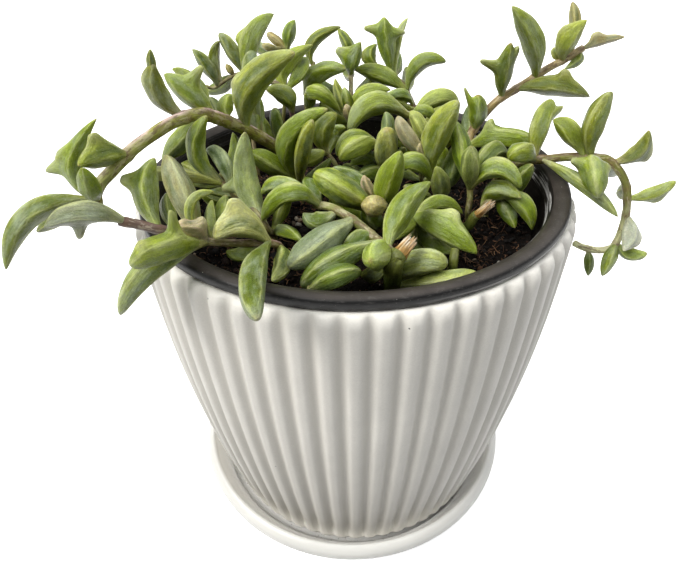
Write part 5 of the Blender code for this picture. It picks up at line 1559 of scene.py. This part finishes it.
def twenty_sides():
    """A regular lump of twelve corners and twenty three-cornered sides, from golden rectangles."""
    golden = (1 + math.sqrt(5)) / 2
    lump = np.array([
        (0, -1, -golden), (0, 1, -golden), (0, -1, golden), (0, 1, golden),
        (-1, -golden, 0), (1, -golden, 0), (-1, golden, 0), (1, golden, 0),
        (-golden, 0, -1), (golden, 0, -1), (-golden, 0, 1), (golden, 0, 1),
    ]) / math.hypot(1, golden)
    apart = np.linalg.norm(lump[:, None] - lump, axis=2)
    sides = []
    for a, b, c in itertools.combinations(range(len(lump)), 3):
        if max(apart[a, b], apart[a, c], apart[b, c]) < 1.1:
            outward = np.cross(lump[b] - lump[a], lump[c] - lump[a]) @ lump[a] > 0
            sides.append((a, b, c) if outward else (a, c, b))
    return lump, np.array(sides)


def scatter(skin, spots, sizes, codes, flat, chance):
    """Irregular twenty-sided lumps, each turned its own way."""
    lump, sides = twenty_sides()
    count, corners = len(spots), len(lump)
    turns = np.linalg.qr(chance.normal(size=(count, 3, 3)))[0]
    turns *= np.sign(np.linalg.det(turns))[:, None, None]
    shape = lump[None] * chance.uniform(0.7, 1.25, (count, corners, 1))
    shape *= chance.uniform(0.6, 1.3, (count, 1, 3))
    points = np.einsum("nij,nkj->nki", turns, shape) * sizes[:, None, None] / 2
    points[..., 2] *= flat
    points = (points + spots[:, None]).reshape(-1, 3)
    tints = np.array([linear(code) for code in codes])[chance.integers(0, len(codes), count)]
    tints = np.repeat(tints * chance.uniform(0.25, 0.75, (count, 1)), corners, axis=0)
    faces = sides[None] + corners * np.arange(count)[:, None, None]
    skin.put(points, np.empty((0, 4), int), faces, tints, points, 0.0)


def anywhere(reach, count, chance):
    """Places spread evenly over a round of soil, as (across, behind)."""
    away = reach * np.sqrt(chance.uniform(0, 1, count))
    turn = chance.uniform(0, math.tau, count)
    return np.stack((away * np.cos(turn), away * np.sin(turn)), -1)


def make_crumbs(surface, side, waves, chance):
    """Crumbs of peat on the soil, and among them short bent fibres that rise in the middle."""
    skin = Skin()
    flat = anywhere(side - 1.5, CRUMBS, chance)
    sizes = 0.6 + chance.exponential(0.6, CRUMBS).clip(0, 3.0)
    height = soil_top(flat[:, 0], flat[:, 1], waves) + 0.2 * sizes
    scatter(skin, np.column_stack((flat, height)), sizes, CRUMB_TINTS, 0.75, chance)
    for _ in range(FIBRES):
        start = anywhere(side - 4, 1, chance)
        heading, bend = chance.uniform(0, math.tau), chance.uniform(-2.2, 2.2)
        long = 1.4 + chance.exponential(1.7)
        share = np.linspace(0, 1, FIBRE_ROWS)
        way = heading + bend * share
        flat = np.stack((np.cumsum(np.cos(way)), np.cumsum(np.sin(way))), -1) * long / FIBRE_ROWS
        flat = flat + start
        flat *= np.minimum(1, (side - 1.5) / np.maximum(np.linalg.norm(flat, axis=1), 1))[:, None]
        high = soil_top(flat[:, 0], flat[:, 1], waves) + 0.5
        high += chance.uniform(0, 1.0) * np.sin(math.pi * share)
        route = np.column_stack((flat, high))
        rings = tube_rings(route, chance.uniform(0.13, 0.27) * (1 - 0.5 * share), 4)[0]
        skin.lay(rings, (route[0], route[-1]), linear(chance.choice(FIBRE_TINTS)), rings, 0.0)
    skin.finish("soil_crumbs", "soil_brown", [surface])


def make_grains(surface, side, waves, chance):
    """White grains: those that show in the picture, and a few more anywhere."""
    known = np.array([seen_on_soil(*spot) for spot in SEEN_GRAINS])[:, :2]
    flat = np.vstack((known, anywhere(side - 2, GRAINS, chance)))
    sizes = np.concatenate((np.full(len(known), 2.4), chance.uniform(0.5, 1.8, GRAINS)))
    height = soil_top(flat[:, 0], flat[:, 1], waves) + 0.3 * sizes
    skin = Skin()
    scatter(skin, np.column_stack((flat, height)), sizes, GRAIN_TINTS, 0.85, chance)
    skin.finish("white_grains", "soil_brown", [surface])


def make_soil(body, crumb, grain):
    """The soil, and on it crumbs, fibres and white grains."""
    chance = np.random.default_rng(14)
    waves = []
    for number in range(SOIL_WAVES):
        length = 2.6 + 0.5 * number
        waves.append((chance.uniform(0, math.tau), length, chance.uniform(0, math.tau), 0.05 * length**0.7))
    side = nursery_radius(SOIL_TOP) - NURSERY_WALL - GAP - 0.1
    make_soil_body(body, side, waves)
    make_crumbs(crumb, side, waves, chance)
    make_grains(grain, side, waves, chance)


# Finishes.


def add_node(tree, kind, inputs=(), **settings):
    """A shader node with its settings, and its inputs set or linked."""
    made = tree.nodes.new("ShaderNode" + kind)
    for label, value in settings.items():
        setattr(made, label, value)
    for label, value in dict(inputs).items():
        if isinstance(value, bpy.types.NodeSocket):
            tree.links.new(value, made.inputs[label])
        else:
            made.inputs[label].default_value = value
    return made


class Finish:
    """A material under construction, with short names for the nodes that it uses most."""

    def __init__(self, name):
        self.material = bpy.data.materials.new(name)
        self.material.use_nodes = True
        self.tree = self.material.node_tree
        self.shader = self.tree.nodes["Principled BSDF"]
        place = add_node(self.tree, "TexCoord").outputs["Object"]
        inputs = {0: place, "Scale": 1 / MM}
        self.place = add_node(self.tree, "VectorMath", inputs, operation="SCALE").outputs[0]

    def read(self, label, output="Vector"):
        return add_node(self.tree, "Attribute", attribute_name=label).outputs[output]

    def noise(self, vector, size, detail=3, rough=0.55, stretch=None):
        """Cloudy noise from 0 to 1, whose blotches are about this many millimetres, drawn out on request."""
        if stretch:
            inputs = {0: vector, 1: stretch}
            vector = add_node(self.tree, "VectorMath", inputs, operation="MULTIPLY").outputs[0]
        inputs = {"Vector": vector, "Scale": 1 / size, "Detail": detail, "Roughness": rough}
        return add_node(self.tree, "TexNoise", inputs).outputs[0]

    def dots(self, vector, apart, radius, soft=0.3):
        """1 inside round dots of a radius, about this far apart, and 0 outside."""
        cells = add_node(self.tree, "TexVoronoi", {"Vector": vector, "Scale": 1 / apart}).outputs["Distance"]
        return self.span(cells, radius / apart * (1 - soft), radius / apart * (1 + soft), 1, 0)

    def span(self, value, low, high, start=0.0, end=1.0):
        """The value's way from low to high, turned into the way from start to end."""
        inputs = {"Value": value, "From Min": low, "From Max": high, "To Min": start, "To Max": end}
        return add_node(self.tree, "MapRange", inputs).outputs[0]

    def middle_span(self, pattern, start, end):
        """The range that a noise keeps to most of the time, turned into the way from start to end."""
        return self.span(pattern, 0.3, 0.7, start, end)

    def reckon(self, kind, first, second=0.0):
        return add_node(self.tree, "Math", {0: first, 1: second}, operation=kind).outputs[0]

    def times(self, first, second):
        return self.reckon("MULTIPLY", first, second)

    def split(self, vector):
        return add_node(self.tree, "SeparateXYZ", {0: vector}).outputs

    def mix(self, share, first, second, blend="MIX"):
        colours = [(*linear(part), 1) if isinstance(part, str) else part for part in (first, second)]
        inputs = {0: share, 6: colours[0], 7: colours[1]}
        return add_node(self.tree, "Mix", inputs, data_type="RGBA", blend_type=blend).outputs[2]

    def cover(self, colour, code, share, much):
        """The colour with another over it, by a share from 0 to 1 times the most that it may be."""
        return self.mix(self.times(share, much), colour, code)

    def mottle(self, colour, pattern, dark, light):
        """The colour made darker and lighter by a noise, between two factors."""
        value = self.middle_span(pattern, dark, light)
        grey = add_node(self.tree, "CombineColor", {0: value, 1: value, 2: value}).outputs[0]
        return self.mix(1.0, colour, grey, "MULTIPLY")

    def bump(self, height, millimetres, normal=None):
        inputs = {"Height": height, "Distance": millimetres * MM, "Strength": 1.0}
        if normal:
            inputs["Normal"] = normal
        return add_node(self.tree, "Bump", inputs).outputs[0]

    def grainy(self, pattern, dark, light, **looks):
        """The finished material, where one noise mottles the tint and roughens the surface."""
        colour = self.mottle(self.read("tint", "Color"), pattern, dark, light)
        return self.end(Base_Color=colour, Normal=self.bump(pattern, 0.3), **looks)

    def end(self, **inputs):
        """The finished material, with these inputs of its shader set or linked."""
        for label, value in inputs.items():
            socket = self.shader.inputs[label.replace("_", " ")]
            if isinstance(value, bpy.types.NodeSocket):
                self.tree.links.new(value, socket)
            else:
                socket.default_value = value
        return self.material


def leaf_flesh():
    """Fleshy leaf skin: mottled green, with dark see-through furrows, pale keels with a painted glow, and
    waxy grey bloom.
    """
    make = Finish("waxy leaf skin")
    flesh = make.read("flesh")
    turned, flank, bloom = make.split(make.read("marks"))[:3]
    clouds = make.noise(flesh, 3.0)
    colour = make.mottle(make.read("tint", "Color"), clouds, 0.74, 1.25)
    streaks = make.noise(flesh, 0.7, 4, 0.6, (0.14, 1.0, 1.0))
    colour = make.mottle(colour, streaks, 0.76, 1.2)
    wavy = make.noise(flesh, 1.2, 2, stretch=(0.3, 0.3, 0.3))
    turned = make.reckon("ADD", turned, make.middle_span(wavy, -0.14, 0.14))

    def from_ridge(shift):
        return make.reckon("ABSOLUTE", make.reckon("SUBTRACT", turned, RIDGE_AT + shift))

    before = make.span(from_ridge(-0.62), 0.2, 0.5, 1, 0)
    behind = make.span(from_ridge(0.6), 0.2, 0.5, 0.75, 0)
    window = make.times(make.reckon("MAXIMUM", before, behind), flank)
    window = make.times(window, make.span(clouds, 0.32, 0.52, 0.25, 1.0))
    colour = make.cover(colour, "#3a5206", window, 0.85)
    # Pale keels: partly the leaf's own paler margins, partly a painted glow of light shining through the thin
    # keel.
    keels = make.reckon("MAXIMUM", make.span(turned, 0.1, 0.3, 1, 0), make.span(turned, 2.84, 3.04))
    lines = make.reckon("MAXIMUM", keels, make.span(from_ridge(0), 0.03, 0.13, 0.8, 0))
    lines = make.times(lines, make.span(streaks, 0.3, 0.6, 0.4, 1.0))
    colour = make.cover(colour, "#cdd290", lines, 0.5)
    patches = make.noise(flesh, 3.4, 5, 0.65, (0.45, 1.0, 1.0))
    film = make.times(bloom, make.span(patches, 0.44, 0.64))
    colour = make.cover(colour, "#bfcbb4", film, 0.5)
    colour = make.cover(colour, "#d2d5a6", make.dots(flesh, 1.0, 0.11), 0.3)
    scars = make.span(make.noise(flesh, 1.6, 4, 0.7), 0.66, 0.74)
    colour = make.cover(colour, "#7d6f42", scars, 0.4)
    fine = make.noise(flesh, 0.45)
    colour = make.mottle(colour, fine, 0.84, 1.16)
    normal = make.bump(streaks, 0.5, make.bump(fine, 0.2))
    return make.end(
        Base_Color=colour, Roughness=make.span(film, 0, 1, 0.32, 0.58), Normal=normal,
        Subsurface_Weight=0.25, Subsurface_Radius=(1.0, 1.1, 0.25), Subsurface_Scale=0.0014,
        IOR=1.45, Specular_IOR_Level=0.45,
    )


def stem_skin():
    """Stem skin: the stem's own tint with length-wise wrinkles, paler scurf and brown flecks."""
    make = Finish("fleshy stem skin")
    flesh = make.read("flesh")
    wrinkles = make.noise(flesh, 0.9, 4, stretch=(0.15, 1.6, 1.6))
    colour = make.mottle(make.read("tint", "Color"), wrinkles, 0.75, 1.22)
    scurf = make.span(make.noise(flesh, 1.5, 4, 0.65, (0.3, 1.0, 1.0)), 0.52, 0.58)
    colour = make.cover(colour, "#ddd0b4", scurf, 0.28)
    flecks = make.span(make.noise(flesh, 1.3, 4, 0.65, (0.35, 1.0, 1.0)), 0.53, 0.57)
    colour = make.cover(colour, "#5c4330", flecks, 0.62)
    return make.end(
        Base_Color=colour, Roughness=0.5, Normal=make.bump(wrinkles, 0.3),
        Subsurface_Weight=0.12, Subsurface_Radius=(1.0, 0.7, 0.4), Subsurface_Scale=0.001, IOR=1.45,
    )


def dry_fibre():
    """Dead plant fibre: matt, orange-brown to cream, finely streaked along its length."""
    make = Finish("dry torn fibre")
    streaks = make.noise(make.read("flesh"), 0.8, 4, stretch=(0.2, 2.2, 2.2))
    return make.grainy(streaks, 0.6, 1.25, Roughness=0.85, IOR=1.45)


def soil_crumb():
    """Crumbs of peat and bark and thin roots: matt brown with a rough grain."""
    make = Finish("peat crumbs and roots")
    grain = make.noise(make.place, 0.5, 4, 0.7)
    return make.grainy(grain, 0.6, 1.35, Roughness=0.75, IOR=1.45, Specular_IOR_Level=0.3)


def white_grain():
    """Expanded mineral grains: chalky white, pitted and a little soiled."""
    make = Finish("white mineral grain")
    return make.grainy(make.noise(make.place, 0.4, 3, 0.7), 0.75, 1.08, Roughness=0.9, IOR=1.5)


def damp_soil():
    """Near-black peat: matt, with brown flecks and a rough crumbly surface."""
    make = Finish("dark peat")
    clumps = make.noise(make.place, 2.2, 5, 0.7)
    colour = make.mottle(make.read("tint", "Color"), clumps, 0.35, 1.5)
    flecks = make.span(make.noise(make.place, 0.8, 3, 0.7), 0.6, 0.72)
    colour = make.cover(colour, "#4b3322", flecks, 0.5)
    return make.end(
        Base_Color=colour, Roughness=0.9, Normal=make.bump(clumps, 1.2), IOR=1.4, Specular_IOR_Level=0.2,
    )


def pot_ceramic():
    """Matt white ceramic: soft clouds, a fine grain, darker grooves, painted shade low down, black specks."""
    make = Finish("matt white ceramic")
    groove = make.split(make.read("marks"))[0]
    clouds = make.noise(make.place, 16)
    grain = make.noise(make.place, 0.5, 3, 0.7)
    colour = make.mottle(make.read("tint", "Color"), clouds, 0.95, 1.04)
    colour = make.mottle(colour, grain, 0.95, 1.04)
    # The grooves are darkened with a grey-beige tone, patchy with the clouds.
    dust = make.span(groove, 0.35, 1.0, 0, 0.22)
    colour = make.cover(colour, "#a09a8c", dust, make.middle_span(clouds, 0.4, 1.0))
    across, _, height = make.split(make.place)
    # Painted shade: the lower pot is darkened, most on the left and in the middle, little on the right and
    # less at the very foot.
    painted_low_shade = make.times(make.span(height, 95, 15, 0, 0.65), make.span(across, 45, 5, 0.1, 1.0))
    colour = make.cover(colour, "#9b968c", painted_low_shade, make.span(height, 4, 20, 0.1, 1.0))
    rare = make.span(make.noise(make.place, 14, 2), 0.52, 0.56)
    colour = make.cover(colour, "#2d2a28", make.dots(make.place, 9.0, 0.28), rare)
    normal = make.bump(grain, 0.06, make.bump(make.noise(make.place, 5.0), 0.15))
    return make.end(Base_Color=colour, Roughness=make.middle_span(grain, 0.5, 0.62), Normal=normal, IOR=1.5)


def saucer_glaze():
    """Bright white glazed ceramic with a soft shine, and crumbs of dirt inside near the floor."""
    make = Finish("white saucer glaze")
    colour = make.mottle(make.read("tint", "Color"), make.noise(make.place, 20), 0.965, 1.02)
    low = make.span(make.split(make.place)[2], 11, 3)
    dirt = make.span(make.noise(make.place, 1.1, 4, 0.7), 0.57, 0.66)
    patch = make.span(make.noise(make.place, 12, 2), 0.45, 0.6)
    dirt = make.times(make.times(dirt, patch), low)
    colour = make.cover(colour, "#5c544a", dirt, 0.7)
    colour = make.cover(colour, "#6e675d", make.dots(make.place, 12.0, 0.3), 0.6)
    return make.end(
        Base_Color=colour, Roughness=0.32, Normal=make.bump(make.noise(make.place, 8.0, 2), 0.12), IOR=1.5,
        Subsurface_Weight=0.6, Subsurface_Radius=(1.0, 1.0, 1.0), Subsurface_Scale=0.005,
    )


def black_plastic():
    """Thin black moulded plastic: a soft grey sheen, fine grain, scuffs round the rim, painted highlights on
    the rings inside, and dust inside.
    """
    make = Finish("black nursery plastic")
    scuffs = make.span(make.noise(make.place, 2.5, 5, 0.7, (1.0, 1.0, 6.0)), 0.55, 0.72)
    colour = make.mottle(make.read("tint", "Color"), make.noise(make.place, 6), 0.8, 1.2)
    colour = make.cover(colour, "#6e6c68", scuffs, 0.3)
    across, _, height = make.split(make.place)
    # Painted highlight: pale lines on the moulded rings inside, only on the right-hand side, which the key
    # lamp lights.
    rings = make.times(make.span(height, 141.0, 141.9), make.span(height, 147.0, 146.2))
    rings = make.times(rings, make.span(across, 15, 50))
    lines = make.noise(make.place, 0.9, 2, stretch=(0.05, 0.05, 1.0))
    colour = make.cover(colour, "#b4b3b0", rings, make.span(lines, 0.48, 0.6, 0, 0.8))
    dust = make.dots(make.place, 1.3, 0.14)
    colour = make.cover(colour, "#a39c90", dust, make.span(height, 143, 130, 0.1, 0.9))
    rim_dust = make.times(make.dots(make.place, 2.2, 0.13), make.span(height, 148.0, 148.3))
    colour = make.cover(colour, "#b5b2aa", rim_dust, 0.7)
    return make.end(
        Base_Color=colour, Roughness=make.span(scuffs, 0, 1, 0.45, 0.62),
        Normal=make.bump(make.noise(make.place, 0.7), 0.04), IOR=1.49, Specular_IOR_Level=0.3,
    )


def studio_white():
    """Matt pale paper under and behind the plant, very faintly fibrous."""
    make = Finish("pale studio paper")
    return make.end(
        Base_Color=make.mix(make.noise(make.place, 30), "#f6f6f5", "#fbfbfa"), Roughness=0.95, IOR=1.3,
        Emission_Color=(1.0, 1.0, 1.0, 1), Emission_Strength=0.55,
    )


# Studio.


def make_camera():
    """The eye that the plant was laid out from."""
    lens = bpy.data.cameras.new("camera")
    lens.sensor_width = SENSOR_WIDE
    lens.lens = EYE_FOCUS / PICTURE_WIDE * SENSOR_WIDE
    lens.clip_start = 0.01
    camera = bpy.data.objects.new("camera", lens)
    bpy.context.scene.collection.objects.link(camera)
    turn = Matrix(np.column_stack((EYE_RIGHT, EYE_UP, -EYE_FORWARD)).tolist()).to_4x4()
    camera.matrix_world = Matrix.Translation(EYE * MM) @ turn
    bpy.context.scene.camera = camera


def add_sun(name, place, soft, strength, tint):
    """A far lamp in this direction, as soft as one that spans an angle of so many degrees."""
    lamp = bpy.data.lights.new(name, "SUN")
    lamp.angle = math.radians(soft)
    lamp.energy = strength
    lamp.color = tint
    light = bpy.data.objects.new(name, lamp)
    bpy.context.scene.collection.objects.link(light)
    away = unit(np.array(place, float))
    right = unit(np.cross((0.0, 0.001, 1.0), away))
    up = np.cross(away, right)
    light.matrix_world = Matrix(np.column_stack((right, up, away)).tolist()).to_4x4()


def make_studio():
    """A white light table, a soft lamp from the upper left, one overhead, a weak one on the right, a room."""
    mesh = bpy.data.meshes.new("floor")
    mesh.from_pydata([(-6, -6, 0), (6, -6, 0), (6, 6, 0), (-6, 6, 0)], [], [(0, 1, 2, 3)])
    floor = bpy.data.objects.new("floor", mesh)
    mesh.materials.append(studio_white())
    bpy.context.scene.collection.objects.link(floor)
    floor.visible_diffuse = False
    add_sun("key", (-0.93, -0.48, 1.1), 32, KEY_STRENGTH, (1.0, 0.985, 0.955))
    add_sun("overhead", (0.15, 0.1, 1.0), 110, TOP_STRENGTH, (0.97, 0.985, 1.0))
    add_sun("fill", (0.9, 0.3, 0.3), 60, FILL_STRENGTH, (1.0, 1.0, 1.0))
    world = bpy.data.worlds.new("room")
    world.use_nodes = True
    back = world.node_tree.nodes["Background"]
    back.inputs["Color"].default_value = (1.0, 1.0, 1.0, 1)
    back.inputs["Strength"].default_value = ROOM_LIGHT
    bpy.context.scene.world = world
    bpy.context.scene.view_settings.view_transform = "Standard"


make_camera()
make_studio()
skins = [leaf_flesh(), stem_skin()]
make_fine_saucer(saucer_glaze())
make_fine_cover_pot(pot_ceramic())
make_fine_nursery_pot(black_plastic())
make_soil(damp_soil(), soil_crumb(), white_grain())
make_plants(lay_out(), skins)
dry = dry_fibre()
make_dry_end("front_dry_end", STUBS[0], dry)
make_dry_end("right_dry_end", STUBS[1], dry)
